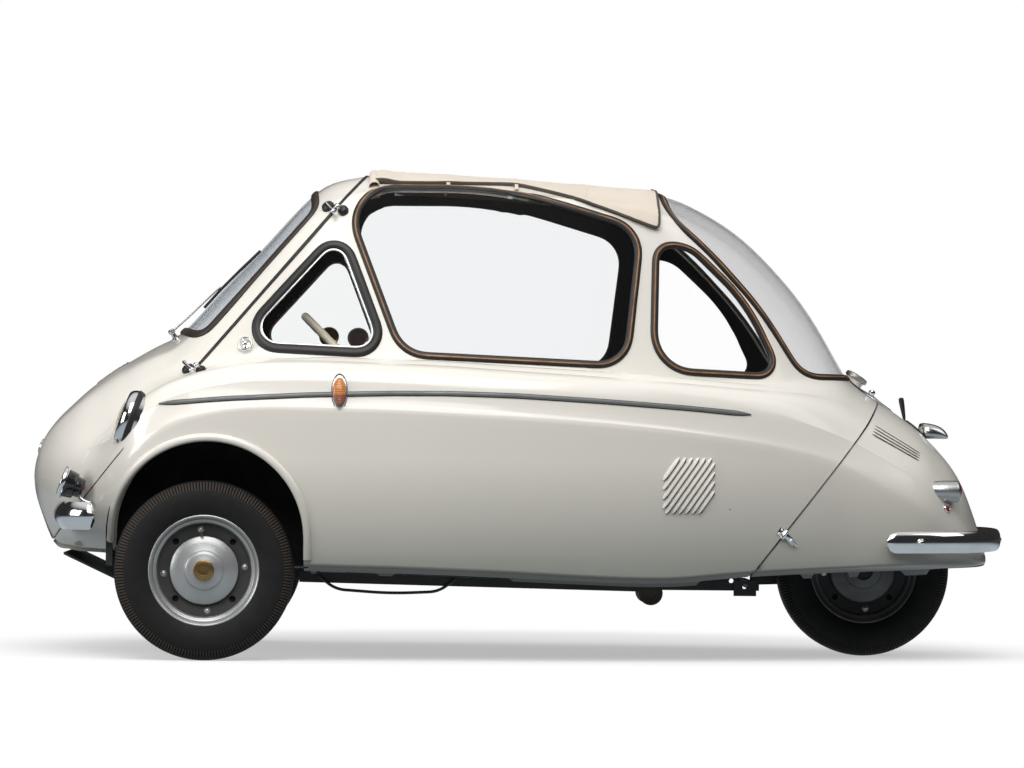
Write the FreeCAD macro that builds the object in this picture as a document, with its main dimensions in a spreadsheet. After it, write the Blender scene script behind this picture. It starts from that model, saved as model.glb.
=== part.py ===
"""Bubble car: a three-wheeled microcar with a front-opening door, front steering and a lift-up tail.

Frame: +X forward, +Y to the car's left, +Z up, origin on the ground under the middle of the bounding box.
All sizes are millimetres.  The driving sizes live in the spreadsheet "dims"; every sub-part reads them.
"""
import FreeCAD, Part
import math
import os

import Sketcher

V = FreeCAD.Vector
doc = FreeCAD.newDocument("bubble_car")

# ---------------------------------------------------------------- driving dimensions
DIMENSIONS = {
    # wheels and running gear
    "wheel_base": 1760.0,
    "front_axle_x": 823.0,
    "track": 1220.0,
    "tyre_radius": 232.0,
    "tyre_width": 112.0,
    "rim_radius": 144.0,
    "rim_width": 92.0,
    "stub_radius": 14.0,
    "kingpin_y": 566.0,
    "kingpin_radius": 12.0,
    # body
    "wall": 28.0,
    "glass": 5.0,
    "panel_gap": 8.0,
    "fabric": 10.0,
    "arch_radius": 249.0,
    "arch_dx": -8.0,
    "arch_z": 317.0,
    "well_depth_y": 436.0,
    "well_wall": 16.0,
    "bulkhead_x": -330.0,
    "shelf_z": 600.0,
    # door shut plane and tail shut plane, both square to the side view
    "door_plane_x": 823.0,
    "door_plane_z": 791.0,
    "door_plane_slope": 1.172,
    "tail_plane_x": -609.0,
    "tail_plane_z": 240.0,
    "tail_plane_slope": 1.258,
    "tail_hinge_x": -945.0,
    "tail_hinge_z": 700.0,
    # chassis
    "rail_y": 330.0,
    "rail_width": 46.0,
    "eye_radius": 7.0,
    # controls
    "steering_wheel_radius": 190.0,
    "steering_rim_radius": 11.0,
    "column_tilt": 45.0,
}
sheet = doc.addObject("Spreadsheet::Sheet", "dims")
for row, (alias, value) in enumerate(DIMENSIONS.items(), start=1):
    sheet.set(f"A{row}", alias)
    sheet.set(f"B{row}", f"{value:g}")
    sheet.setAlias(f"B{row}", alias)
doc.recompute()


def dim(alias):
    """The value of one driving dimension, read from the spreadsheet."""
    return float(sheet.get(alias))


def value_of(expression):
    """The number that an expression over the spreadsheet gives."""
    return float(sheet.evalExpression(str(expression)))


parts = {}


def keep(obj, name):
    """Registers an object as the sub-part of that name."""
    obj.Label = name
    parts[name] = obj
    return obj


def feature(name, shape):
    """A sub-part whose shape is made with Part's own functions."""
    obj = doc.addObject("Part::Feature", name)
    obj.Shape = shape
    return keep(obj, name)


def at(obj, x, y, z, direction=None):
    """Places an object: its base is bound to three expressions, its own Z axis turned to a direction."""
    turn = FreeCAD.Rotation(V(0, 0, 1), V(*direction)) if direction else FreeCAD.Rotation()
    obj.Placement = FreeCAD.Placement(V(), turn)
    for axis, expression in zip("xyz", (x, y, z)):
        obj.setExpression(f"Placement.Base.{axis}", str(expression))
    return obj


def box(name, x_range, y_range, z_range):
    """A Part box from three (low, high) pairs of expressions."""
    obj = doc.addObject("Part::Box", name)
    for prop, (low, high) in zip(("Length", "Width", "Height"), (x_range, y_range, z_range)):
        obj.setExpression(prop, f"({high}) - ({low})")
    return at(obj, x_range[0], y_range[0], z_range[0])


def cylinder(name, radius, height, place, direction=None):
    """A Part cylinder whose foot is at a place and whose axis follows a direction."""
    obj = doc.addObject("Part::Cylinder", name)
    obj.setExpression("Radius", str(radius))
    obj.setExpression("Height", str(height))
    return at(obj, *place, direction)


def union(name, members):
    """The Part fusion of several document objects."""
    obj = doc.addObject("Part::MultiFuse", name)
    obj.Shapes = members
    return obj


def revolved(name, profile, place):
    """A body turned about its Y axis from a closed profile of (radius, along) expressions."""
    part_body = doc.addObject("PartDesign::Body", name)
    sketch = part_body.newObject("Sketcher::SketchObject", name + "_profile")
    plane = next(item for item in part_body.Origin.OriginFeatures if item.Role == "XY_Plane")
    sketch.AttachmentSupport = [(plane, "")]
    sketch.MapMode = "FlatFace"
    corners = [V(value_of(radius), value_of(along), 0) for radius, along in profile]
    count = len(corners)
    for i in range(count):
        sketch.addGeometry(Part.LineSegment(corners[i], corners[(i + 1) % count]), False)
    for i in range(count):
        sketch.addConstraint(Sketcher.Constraint("Coincident", i, 2, (i + 1) % count, 1))
    for i, (radius, along) in enumerate(profile):
        for kind, expression in (("DistanceX", radius), ("DistanceY", along)):
            number = value_of(expression)
            index = sketch.addConstraint(Sketcher.Constraint(kind, -1, 1, i, 1, number))
            sketch.setExpression(f"Constraints[{index}]", str(expression))
    turned = part_body.newObject("PartDesign::Revolution", name + "_turned")
    turned.Profile = sketch
    turned.ReferenceAxis = (sketch, ["V_Axis"])
    turned.Angle = 360
    doc.recompute()
    at(part_body, *place)
    return part_body


def round_rims(part_body, radius, size):
    """Fillets the circular edges of one radius on the body's last feature."""
    base = part_body.Tip
    wanted = value_of(radius)
    edges = [
        f"Edge{number}"
        for number, edge in enumerate(base.Shape.Edges, start=1)
        if isinstance(edge.Curve, Part.Circle) and abs(edge.Curve.Radius - wanted) < 0.01
    ]
    rounded = part_body.newObject("PartDesign::Fillet", part_body.Name + "_rounded")
    rounded.Base = (base, edges)
    rounded.setExpression("Radius", str(size))
    doc.recompute()
    return part_body


def both_sides(shape):
    """A shape and its mirror image across the car's centre plane."""
    return [shape, shape.mirror(V(0, 0, 0), V(0, 1, 0))]


def rod(start, end, radius):
    """A round bar between two points."""
    axis = V(*end) - V(*start)
    return Part.makeCylinder(radius, axis.Length, V(*start), axis)


def block(x_range, y_range, z_range):
    """A box from three (low, high) pairs."""
    (x0, x1), (y0, y1), (z0, z1) = x_range, y_range, z_range
    return Part.makeBox(x1 - x0, y1 - y0, z1 - z0, V(x0, y0, z0))


def fused(shapes):
    """One shape from several that meet."""
    first = shapes[0]
    return first.multiFuse(shapes[1:]).removeSplitter() if len(shapes) > 1 else first


# ---------------------------------------------------------------- body surface
# Cross sections of the outer surface, nose to tail.  Columns: x | height of the centre line |
# y, z of the roof corner | y, z of the valley between cabin and wing | y, z of the wing's shoulder |
# y, z of the wing's side | y, z of the sill corner | height of the underside | softness of the roof corner
SECTIONS = (
    (1301, 508, 46, 500, 70, 486, 82, 474, 82, 458, 56, 442, 434, 0.45),
    (1274, 580, 118, 562, 168, 522, 190, 486, 192, 440, 138, 382, 362, 0.45),
    (1238, 630, 180, 604, 246, 548, 280, 494, 286, 418, 214, 322, 290, 0.45),
    (1200, 668, 226, 638, 304, 564, 350, 504, 362, 416, 292, 302, 276, 0.45),
    (1163, 704, 262, 668, 352, 566, 412, 508, 430, 416, 366, 296, 272, 0.45),
    (1120, 739, 290, 698, 394, 570, 482, 522, 506, 424, 446, 294, 271, 0.45),
    (1078, 769, 314, 726, 428, 586, 546, 566, 584, 452, 524, 292, 270, 0.45),
    (1045, 789, 330, 744, 442, 614, 582, 620, 630, 498, 578, 288, 269, 0.44),
    (1013, 808, 346, 762, 450, 642, 600, 668, 658, 548, 620, 284, 268, 0.43),
    (903, 876, 398, 814, 492, 714, 626, 732, 684, 624, 668, 260, 252, 0.41),
    (723, 1076, 436, 984, 526, 762, 646, 774, 692, 660, 674, 242, 238, 0.35),
    (548, 1252, 428, 1196, 542, 770, 652, 780, 692, 660, 672, 236, 234, 0.30),
    (340, 1290, 422, 1262, 546, 766, 650, 774, 688, 656, 667, 232, 229, 0.27),
    (23, 1268, 419, 1252, 538, 752, 632, 756, 668, 640, 646, 222, 218, 0.26),
    (-347, 1254, 398, 1210, 510, 734, 588, 730, 616, 612, 594, 210, 206, 0.30),
    (-577, 1160, 334, 1086, 456, 722, 532, 708, 562, 586, 540, 226, 222, 0.38),
    (-767, 966, 246, 888, 354, 722, 462, 674, 500, 552, 488, 236, 232, 0.43),
    (-880, 764, 178, 744, 290, 694, 410, 630, 460, 514, 454, 240, 236, 0.45),
    (-940, 712, 160, 698, 270, 662, 388, 598, 442, 484, 440, 242, 238, 0.45),
    (-1047, 640, 145, 628, 244, 594, 350, 534, 408, 430, 408, 245, 241, 0.45),
    (-1107, 588, 136, 576, 224, 542, 314, 484, 374, 388, 378, 248, 244, 0.45),
    (-1187, 487, 118, 477, 186, 443, 252, 390, 312, 322, 322, 252, 247, 0.45),
    (-1237, 360, 100, 353, 148, 332, 190, 306, 236, 280, 246, 258, 250, 0.45),
    (-1255, 302, 84, 298, 120, 290, 152, 280, 180, 270, 184, 262, 255, 0.45),
)
# a section that is lower than this many times the inset is left out of an inner surface
ROOM_PER_INSET = 4.0
CORNER_SOFTNESS = (0.45, None, 0.42, 0.46, 0.46, 0.42, 0.42)
FLAT_UNDERSIDE = 0.80


def rounded_wire(points, softness, x):
    """A closed wire of lines and tangent arcs round a polygon, in the plane at x."""
    count = len(points)
    corners = []
    for i in range(count):
        before, here, after = (V(x, *points[k % count]) for k in (i - 1, i, i + 1))
        reach = softness[i] * min((here - before).Length, (after - here).Length)
        u = (before - here).normalize()
        v = (after - here).normalize()
        half = math.acos(max(-1.0, min(1.0, u.dot(v)))) / 2
        radius = reach * math.tan(half)
        middle = (u + v).normalize()
        centre = here + middle * (radius / math.sin(half))
        corners.append((here + u * reach, centre - middle * radius, here + v * reach))
    edges = []
    for i, (start, top, end) in enumerate(corners):
        edges.append(Part.Arc(start, top, end).toShape())
        edges.append(Part.LineSegment(end, corners[(i + 1) % count][0]).toShape())
    return Part.Wire(edges)


def body_section(row, inset):
    """One cross section of the body, moved inwards by inset."""
    x, top, y1, z1, y2, z2, y3, z3, y4, z4, y5, z5, under, soft = row
    half = [
        (y1 - inset, z1 - inset),
        (y2 - inset, z2 - 0.4 * inset),
        (y3 - 0.6 * inset, z3 - inset),
        (y4 - inset, z4 - 0.4 * inset),
        (y5 - inset, z5 + inset),
        (y5 * FLAT_UNDERSIDE - inset, under + inset),
    ]
    points = [(0, top - inset)] + half + [(-y, z) for y, z in reversed(half)]
    rounding = [soft if s is None else s for s in CORNER_SOFTNESS]
    middle = (SECTIONS[0][0] + SECTIONS[-1][0]) / 2
    length = SECTIONS[0][0] - SECTIONS[-1][0]
    x = middle + (x - middle) * (1 - 2 * inset / length)
    return rounded_wire(points, rounding + rounding[:0:-1], x)


def body_solid(inset=0.0):
    """The whole body surface as a solid; a negative inset makes it larger."""
    rows = [row for row in SECTIONS if row[1] - row[12] > ROOM_PER_INSET * inset]
    return Part.makeLoft([body_section(row, inset) for row in rows], True, False)


# ---------------------------------------------------------------- outlines in the side view
def side_outline(points, softness):
    """A wire in the XZ plane through (x, z) points with rounded corners; softness 0 keeps a corner."""
    count = len(points)
    ends = []
    for i in range(count):
        before, here, after = (V(points[k % count][0], 0, points[k % count][1]) for k in (i - 1, i, i + 1))
        soft = softness[i] if isinstance(softness, (list, tuple)) else softness
        reach = soft * min((here - before).Length, (after - here).Length)
        u = (before - here).normalize()
        v = (after - here).normalize()
        if soft == 0:
            ends.append((here, None, here))
            continue
        half = math.acos(max(-1.0, min(1.0, u.dot(v)))) / 2
        radius = reach * math.tan(half)
        middle = (u + v).normalize()
        centre = here + middle * (radius / math.sin(half))
        ends.append((here + u * reach, centre - middle * radius, here + v * reach))
    edges = []
    for i, (start, top, end) in enumerate(ends):
        if top is not None:
            edges.append(Part.Arc(start, top, end).toShape())
        following = ends[(i + 1) % count][0]
        if (following - end).Length > 0.01:
            edges.append(Part.LineSegment(end, following).toShape())
    return Part.Wire(edges)


def prism(points, softness, y_low, y_high):
    """The side outline pushed from y_low to y_high."""
    face = Part.Face(side_outline(points, softness))
    solid = face.extrude(V(0, y_high - y_low, 0))
    solid.translate(V(0, y_low, 0))
    return solid


FAR = 900.0
OUTSIDE = 1700.0
# window outlines (x, z), seen from the left
FRONT_QUARTER = ((690, 812), (466, 1112), (362, 800))
SIDE_WINDOW = ((455, 1236), (58, 1238), (-304, 1130), (-264, 774), (316, 798))
REAR_QUARTER = ((-350, 1090), (-436, 1086), (-588, 942), (-680, 750), (-342, 764))
# the windscreen and rear window are cut right across the body
WINDSCREEN = ((920, 868), (842, 838), (548, 1176), (560, 1252), (560, OUTSIDE), (1500, OUTSIDE), (1500, 868))
REAR_WINDOW = ((-374, OUTSIDE), (-374, 1180), (-492, 1078), (-632, 926), (-742, 752), (-900, 752), (-900, OUTSIDE))
WINDSCREEN_SOFT = (0, 0.4, 0.3, 0.3, 0, 0, 0)
REAR_WINDOW_SOFT = (0, 0.4, 0.4, 0.4, 0.3, 0, 0)
QUARTER_SOFT = 0.26
SIDE_SOFT = (0.33, 0.4, 0.2, 0.2, 0.13)
REAR_QUARTER_SOFT = (0.45, 0.45, 0.42, 0.3, 0.3)
WINDOW_INNER_Y = 200.0


# the door stays inboard of the valley beside each wing; columns: y, z, seen from the front
DOOR_EDGE = ((430, -300), (430, 548), (448, 640), (508, 750), (900, 750), (900, OUTSIDE))


def door_region(gap):
    """The space that holds the front door: ahead of its shut plane and between the wings."""
    half = [(y + (gap / 2 if y < 900 else 0), z - (gap / 2 if z == 750 else 0)) for y, z in DOOR_EDGE]
    outline = half + [(-y, z) for y, z in reversed(half)]
    face = Part.Face(Part.makePolygon([V(0, y, z) for y, z in outline + outline[:1]]))
    return face.extrude(V(2000, 0, 0)).common(shut_line("door_plane", 1, -gap))


def shut_line(name, side, gap):
    """A region in front of (side 1) or behind (side -1) a shut plane, kept half the gap clear of it."""
    x, z, slope = dim(name + "_x"), dim(name + "_z"), dim(name + "_slope")
    run = gap / 2 * math.hypot(1, slope) / slope * side
    low, high = -300.0, OUTSIDE
    bottom = (x + (z - low) / slope + run, low)
    top = (x + (z - high) / slope + run, high)
    return prism((bottom, top, (side * 3000.0, high), (side * 3000.0, low)), 0, -FAR, FAR)


def arch_well(radius_extra, y_inner, z_low=-50.0):
    """The wheel housing on the left: a half round above a straight-sided box."""
    radius = dim("arch_radius") + radius_extra
    x = dim("front_axle_x") + dim("arch_dx")
    z = dim("arch_z")
    drum = Part.makeCylinder(radius, FAR - y_inner, V(x, y_inner, z), V(0, 1, 0))
    return drum.fuse(block((x - radius, x + radius), (y_inner, FAR), (z_low, z)))


outer = body_solid()
inner = body_solid(dim("wall"))
glass_inner = body_solid(dim("glass"))
outside = body_solid(-0.5)
door_space = door_region(-dim("panel_gap"))
# the wings stand back a little further, where the door's upper corners sink past them as it starts to open
WING_CLEARANCE = 6.0
door_space_wide = door_region(dim("panel_gap") + WING_CLEARANCE)
tail_side = shut_line("tail_plane", -1, dim("panel_gap"))
ahead_of_tail = shut_line("tail_plane", 1, dim("panel_gap"))

windscreen_cut = prism(WINDSCREEN, WINDSCREEN_SOFT, -FAR, FAR)
rear_window_cut = prism(REAR_WINDOW, REAR_WINDOW_SOFT, -FAR, FAR)
side_cuts = []
for outline, soft in ((FRONT_QUARTER, QUARTER_SOFT), (SIDE_WINDOW, SIDE_SOFT), (REAR_QUARTER, REAR_QUARTER_SOFT)):
    side_cuts.append(both_sides(prism(outline, soft, WINDOW_INNER_Y, FAR)))

# the roof opening lies under the folding fabric
ROOF_EDGE = ((383, 1246), (20, 1247), (-92, 1221), (-223, 1180), (-350, 1132), (-350, OUTSIDE), (383, OUTSIDE))
ROOF_OPENING = ((340, 1180), (-300, 1180), (-300, OUTSIDE), (340, OUTSIDE))
ROOF_OPENING_Y = 330.0

# headlamps: centre of the bezel, tilt of the axis above level, radius
LAMP_CENTRE = (1022, 566, 621)
LAMP_TILT = 19.0
LAMP_AXIS = V(math.cos(math.radians(LAMP_TILT)), 0, math.sin(math.radians(LAMP_TILT)))
LAMP_RADIUS = 75.0
LAMP_DEPTH = 70.0

# tail lamps: axis place, front and rear x, radius
TAIL_LAMP_Y, TAIL_LAMP_Z = 325.0, 454.0
TAIL_LAMP_X = (-1166, -1060)
TAIL_LAMP_RADIUS = 29.0


def lamp_drum(radius, behind, ahead):
    """A drum along the headlamp axis on the left."""
    centre = V(*LAMP_CENTRE)
    return Part.makeCylinder(radius, behind + ahead, centre - LAMP_AXIS * behind, LAMP_AXIS)


# room inside the body: the hollow, less the front wheel housings
WELL_MARGIN = 20.0
well_wall_y = dim("well_depth_y") - dim("well_wall")
housings = both_sides(arch_well(WELL_MARGIN + dim("well_wall"), well_wall_y))
wells = both_sides(arch_well(WELL_MARGIN, dim("well_depth_y")).common(block((0, 2000), (0, 600), (-60, 900))))
wells += both_sides(arch_well(0, dim("well_depth_y")))
room = inner.cut(Part.makeCompound(housings))
# the open underside round the rear wheel, narrowing rearwards; columns: x, half width
UNDERSIDE_OPENING = ((-342, 430), (-600, 420), (-900, 370), (-1090, 300), (-1195, 200))
UNDERSIDE_OPENING_TOP = 320.0
half_plan = [V(x, y, -50) for x, y in UNDERSIDE_OPENING]
plan = half_plan + [V(p.x, -p.y, p.z) for p in reversed(half_plan)]
underside_open = Part.Face(Part.makePolygon(plan + plan[:1])).extrude(V(0, 0, UNDERSIDE_OPENING_TOP + 50))

lamp_holes = both_sides(lamp_drum(LAMP_RADIUS + 0.5, LAMP_DEPTH + 1, 200))
tail_lamp_hole = rod((TAIL_LAMP_X[0] - 50, TAIL_LAMP_Y, TAIL_LAMP_Z), (TAIL_LAMP_X[1] + 1, TAIL_LAMP_Y, TAIL_LAMP_Z),
                     TAIL_LAMP_RADIUS + 0.5)

shell = outer.cut(room)
for cutter in wells:
    shell = shell.cut(cutter)
for cutter in [windscreen_cut, rear_window_cut] + [c for pair in side_cuts for c in pair]:
    shell = shell.cut(cutter)
shell = shell.cut(prism(ROOF_OPENING, 0, -ROOF_OPENING_Y, ROOF_OPENING_Y))

main_shell = shell.cut(door_space_wide).common(ahead_of_tail).cut(underside_open)
for cutter in lamp_holes:
    main_shell = main_shell.cut(cutter)
# the shell is in two parts that meet behind the wheel housings: the cabin with the tail, and the front wings
WINGS_X = 520.0
JOINT_GAP = 0.3
wings_space = block((WINGS_X, 2000), (-FAR, FAR), (-100, OUTSIDE))
feature("front_wings", main_shell.common(wings_space))
cabin_space = block((-2000, WINGS_X - JOINT_GAP), (-FAR, FAR), (-100, OUTSIDE))
feature("body_shell", main_shell.common(cabin_space))
feature("front_door", shell.common(door_space))
cover = shell.common(tail_side).cut(underside_open)
for cutter in both_sides(tail_lamp_hole):
    cover = cover.cut(cutter)
feature("engine_cover", cover)

# ---------------------------------------------------------------- glass and roof
pane = outer.cut(glass_inner)
feature("windscreen", pane.common(windscreen_cut).common(door_space))
feature("rear_window", pane.common(rear_window_cut))
for name, cuts in zip(("front_quarter_windows", "side_windows", "rear_quarter_windows"), side_cuts):
    feature(name, Part.makeCompound([pane.common(cut) for cut in cuts]))

roof_skin = body_solid(-dim("fabric") - 1).cut(body_solid(-1))
feature("roof_fabric", roof_skin.common(prism(ROOF_EDGE, 0, -FAR, FAR)))

# ---------------------------------------------------------------- wheels
RIM_PROFILE = (
    ("0", "52"), ("26", "52"), ("32", "44"), ("58", "42"), ("66", "30"), ("84", "26"), ("118", "10"),
    ("122", "34"), ("136", "dims.rim_width / 2"), ("dims.rim_radius", "dims.rim_width / 2"),
    ("dims.rim_radius", "dims.rim_width / 2 - 6"), ("128", "34"), ("124", "-34"),
    ("dims.rim_radius", "-dims.rim_width / 2 + 6"), ("dims.rim_radius", "-dims.rim_width / 2"),
    ("136", "-dims.rim_width / 2"), ("118", "-36"), ("114", "2"), ("84", "10"), ("70", "10"),
    ("60", "-24"), ("dims.stub_radius + 0.3", "-24"), ("dims.stub_radius + 0.3", "36"), ("0", "36"),
)
TYRE_PROFILE = (
    ("129", "-33.2"), ("129", "33.2"), ("dims.rim_radius + 2", "39.6"), ("dims.rim_radius + 2", "44"),
    ("165", "dims.tyre_width / 2"), ("dims.tyre_radius", "dims.tyre_width / 2"),
    ("dims.tyre_radius", "-dims.tyre_width / 2"), ("165", "-dims.tyre_width / 2"),
    ("dims.rim_radius + 2", "-44"), ("dims.rim_radius + 2", "-39.6"),
)
TYRE_SHOULDER = 38
REAR_AXLE_X = "dims.front_axle_x - dims.wheel_base"
# columns: name | place of the hub | side that faces outwards
WHEELS = (
    ("front_left", ("dims.front_axle_x", "dims.track / 2", "dims.tyre_radius"), 1),
    ("front_right", ("dims.front_axle_x", "-dims.track / 2", "dims.tyre_radius"), -1),
    ("rear", (REAR_AXLE_X, "0", "dims.tyre_radius"), 1),
)


def facing(profile, side):
    """A wheel profile turned to face the left (1) or the right (-1)."""
    return [(radius, along if side == 1 else f"-({along})") for radius, along in profile]


for name, place, side in WHEELS:
    keep(revolved(name + "_wheel", facing(RIM_PROFILE, side), place), name + "_wheel")
    tyre = revolved(name + "_tyre", facing(TYRE_PROFILE, side), place)
    keep(round_rims(tyre, "dims.tyre_radius", TYRE_SHOULDER), name + "_tyre")

# ---------------------------------------------------------------- steering knuckles and front axle
KINGPIN_LOW, KINGPIN_HIGH = 170.3, 293.7
LUG_THICK = 16
for name, side in (("left", 1), ("right", -1)):
    kingpin_y = f"{side} * dims.kingpin_y"
    pin = cylinder(f"kingpin_{name}", "dims.kingpin_radius", KINGPIN_HIGH - KINGPIN_LOW,
                   ("dims.front_axle_x", kingpin_y, KINGPIN_LOW))
    stub = cylinder(f"stub_{name}", "dims.stub_radius", "dims.track / 2 + 34 - dims.kingpin_y",
                    ("dims.front_axle_x", kingpin_y, "dims.tyre_radius"), (0, side, 0))
    arm_y = (f"{kingpin_y} - 14", kingpin_y) if side == 1 else (kingpin_y, f"{kingpin_y} + 14")
    arm = box(f"steering_arm_{name}", ("dims.front_axle_x - 98", "dims.front_axle_x"), arm_y, (178, 190))
    keep(union(f"knuckle_{name}", [pin, stub, arm]), f"knuckle_{name}")

axle_members = [cylinder("axle_beam", 21, 1000, ("dims.front_axle_x", -500, 214), (0, 1, 0))]
for name, side in (("left", 1), ("right", -1)):
    plate_y = (500, 529) if side == 1 else (-529, -500)
    lug_y = (500, "dims.kingpin_y + 13") if side == 1 else ("-dims.kingpin_y - 13", -500)
    axle_members.append(box(f"yoke_{name}", ("dims.front_axle_x - 30", "dims.front_axle_x + 30"), plate_y,
                            (KINGPIN_LOW - 0.3 - LUG_THICK, KINGPIN_HIGH + 0.3 + LUG_THICK)))
    for level, low in (("low", KINGPIN_LOW - 0.3 - LUG_THICK), ("high", KINGPIN_HIGH + 0.3)):
        axle_members.append(box(f"lug_{level}_{name}", ("dims.front_axle_x - 22", "dims.front_axle_x + 22"),
                                lug_y, (low, low + LUG_THICK)))
keep(union("front_suspension", axle_members), "front_suspension")

# ---------------------------------------------------------------- chassis
rail_members = []
RAIL_FRONT = (582, 196, 226)
RAIL_REAR = (-316, 178, 196)
for side in (1, -1):
    y_low, y_high = sorted((side * (dim("rail_y") - dim("rail_width") / 2),
                            side * (dim("rail_y") + dim("rail_width") / 2)))
    rail = [(RAIL_FRONT[0], RAIL_FRONT[1]), (RAIL_FRONT[0], RAIL_FRONT[2]),
            (RAIL_REAR[0], RAIL_REAR[2]), (RAIL_REAR[0], RAIL_REAR[1])]
    rail_members.append(prism(rail, 0, y_low, y_high))
# columns: x range, y range, z range of the plain members of the frame
FRAME_MEMBERS = (
    ((540, 580), (-330, 330), (198, 224)),
    ((-316, -276), (-330, 330), (178, 197)),
    ((560, 802), (150, 190), (198, 224)),
    ((560, 802), (-190, -150), (198, 224)),
    ((-632, -316), (238, 262), (180, 200)),
    ((-632, -316), (-262, -238), (180, 200)),
    ((-638, -622), (-262, 262), (180, 200)),
    ((844, 1070), (-300, 300), (196, 202)),
)
for ranges in FRAME_MEMBERS:
    rail_members.append(block(*ranges))
rail_members.append(prism([(1066, 196), (1206, 262), (1206, 268), (1066, 202)], 0, -300, 300))
# rear mounting eyes: plates on the frame with a bore across the car
eye_x, eye_z = -600, 191
eye_plates = []
for side in (1, -1):
    y_low, y_high = sorted((side * 262, side * 270))
    eye_plates.append(block((eye_x - 30, eye_x + 30), (y_low, y_high), (166, 206)))
rail_members += eye_plates
chassis = fused(rail_members)
for side in (1, -1):
    chassis = chassis.cut(rod((eye_x, side * 200, eye_z), (eye_x, side * 300, eye_z), dim("eye_radius")))
feature("chassis_frame", chassis)

# swing arm of the rear wheel: a chain case on the right with the axle
ARM_Y = (-104, -72)
swing = fused([
    prism([(-640, 186), (-640, 246), (-960, 272), (-990, 232), (-960, 196)], 0.2, *ARM_Y),
    rod((dim("front_axle_x") - dim("wheel_base"), ARM_Y[1] - 2, dim("tyre_radius")),
        (dim("front_axle_x") - dim("wheel_base"), 34, dim("tyre_radius")), dim("stub_radius")),
])
feature("swing_arm", swing)

keep(box("engine", (-632, -385), (-200, 200), (240, 540)), "engine")
silencer = cylinder("silencer_drum", 32, 190, (-352, 36, 170), (0, 1, 0))
downpipe = cylinder("silencer_pipe", 14, 70, (-362, 120, 180))
keep(union("silencer", [silencer, downpipe]), "silencer")

# ---------------------------------------------------------------- cabin
liner = body_solid(dim("wall") + 2)
bulkhead = fused([
    block((dim("bulkhead_x") - 12, dim("bulkhead_x")), (-FAR, FAR), (230, dim("shelf_z") + 12)),
    block((-900, dim("bulkhead_x")), (-FAR, FAR), (dim("shelf_z"), dim("shelf_z") + 12)),
])
feature("rear_bulkhead", bulkhead.common(liner).common(ahead_of_tail))
keep(box("seat_frame", (-120, 340), (-430, 430), (270, 299.7)), "seat_frame")
SEAT_OUTLINE = ((380, 300), (400, 400), (370, 452), (0, 430), (-90, 742), (-200, 742), (-170, 430), (-100, 300))
feature("front_seat", prism(SEAT_OUTLINE, (0, 0.3, 0.3, 0, 0.3, 0.3, 0, 0), -470, 470))
REAR_SEAT_OUTLINE = ((-346, 613), (-346, 690), (-600, 672), (-620, 613))
feature("rear_seat", prism(REAR_SEAT_OUTLINE, (0, 0.3, 0.3, 0), -320, 320))

# steering wheel: centre of the hub, its axis points to the driver
WHEEL_CENTRE = V(448, 250, 771)
tilt = math.radians(dim("column_tilt"))
WHEEL_AXIS = V(-math.sin(tilt), 0, math.cos(tilt))
hub_low = WHEEL_CENTRE - WHEEL_AXIS * 15
rim = doc.addObject("Part::Torus", "steering_rim")
rim.setExpression("Radius1", "dims.steering_wheel_radius - dims.steering_rim_radius")
rim.setExpression("Radius2", "dims.steering_rim_radius")
at(rim, *WHEEL_CENTRE, WHEEL_AXIS)
hub = cylinder("steering_hub", 28, 34, tuple(hub_low), tuple(WHEEL_AXIS))
spokes = []
for number, angle in enumerate((90, 210, 330)):
    turn = math.radians(angle)
    across = V(0, 1, 0) * math.cos(turn) + WHEEL_AXIS.cross(V(0, 1, 0)) * math.sin(turn)
    spokes.append(cylinder(f"spoke_{number}", 6, "dims.steering_wheel_radius - dims.steering_rim_radius",
                           tuple(WHEEL_CENTRE), tuple(across)))
keep(union("steering_wheel", [rim, hub] + spokes), "steering_wheel")
COLUMN_LENGTH = 640
column_foot = WHEEL_CENTRE - WHEEL_AXIS * COLUMN_LENGTH
keep(cylinder("steering_column", 17, COLUMN_LENGTH - 15.5, tuple(column_foot), tuple(WHEEL_AXIS)), "steering_column")

# pedals and hand levers
pedal_pieces = []
for y in (150, 310, 376):
    pedal_pieces.append(fused([rod((1000, y, 306), (950, y, 360), 7), block((930, 956), (y - 26, y + 26), (340, 392))]))
feature("pedals", Part.makeCompound(pedal_pieces))
lever_pieces = []
for x, top_x, top_z, y in ((520, 490, 560, -60), (450, 440, 500, 0)):
    grip = Part.makeSphere(17, V(top_x, y, top_z))
    lever_pieces.append(fused([rod((x, y, 272), (top_x, y, top_z), 8), grip]))
feature("hand_levers", Part.makeCompound(lever_pieces))

# ---------------------------------------------------------------- lamps
# the lens is a cap of a sphere that stands LENS_REACH ahead of the rim's plane
LENS_REACH = 20.0
dome = Part.makeSphere((LAMP_RADIUS ** 2 + LENS_REACH ** 2) / (2 * LENS_REACH))
dome.translate(V(*LAMP_CENTRE) - LAMP_AXIS * ((LAMP_RADIUS ** 2 - LENS_REACH ** 2) / (2 * LENS_REACH)))
feature("headlamps", Part.makeCompound(both_sides(lamp_drum(LAMP_RADIUS, LAMP_DEPTH, 60).common(dome))))

marker = fused([
    rod((1120, 500, 452), (1176, 500, 452), 30),
    rod((1176, 500, 452), (1190, 500, 452), 41),
    block((1130, 1150), (492, 508), (372, 430)),
])
feature("front_lamps", Part.makeCompound(both_sides(marker.cut(outside))))

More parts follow.
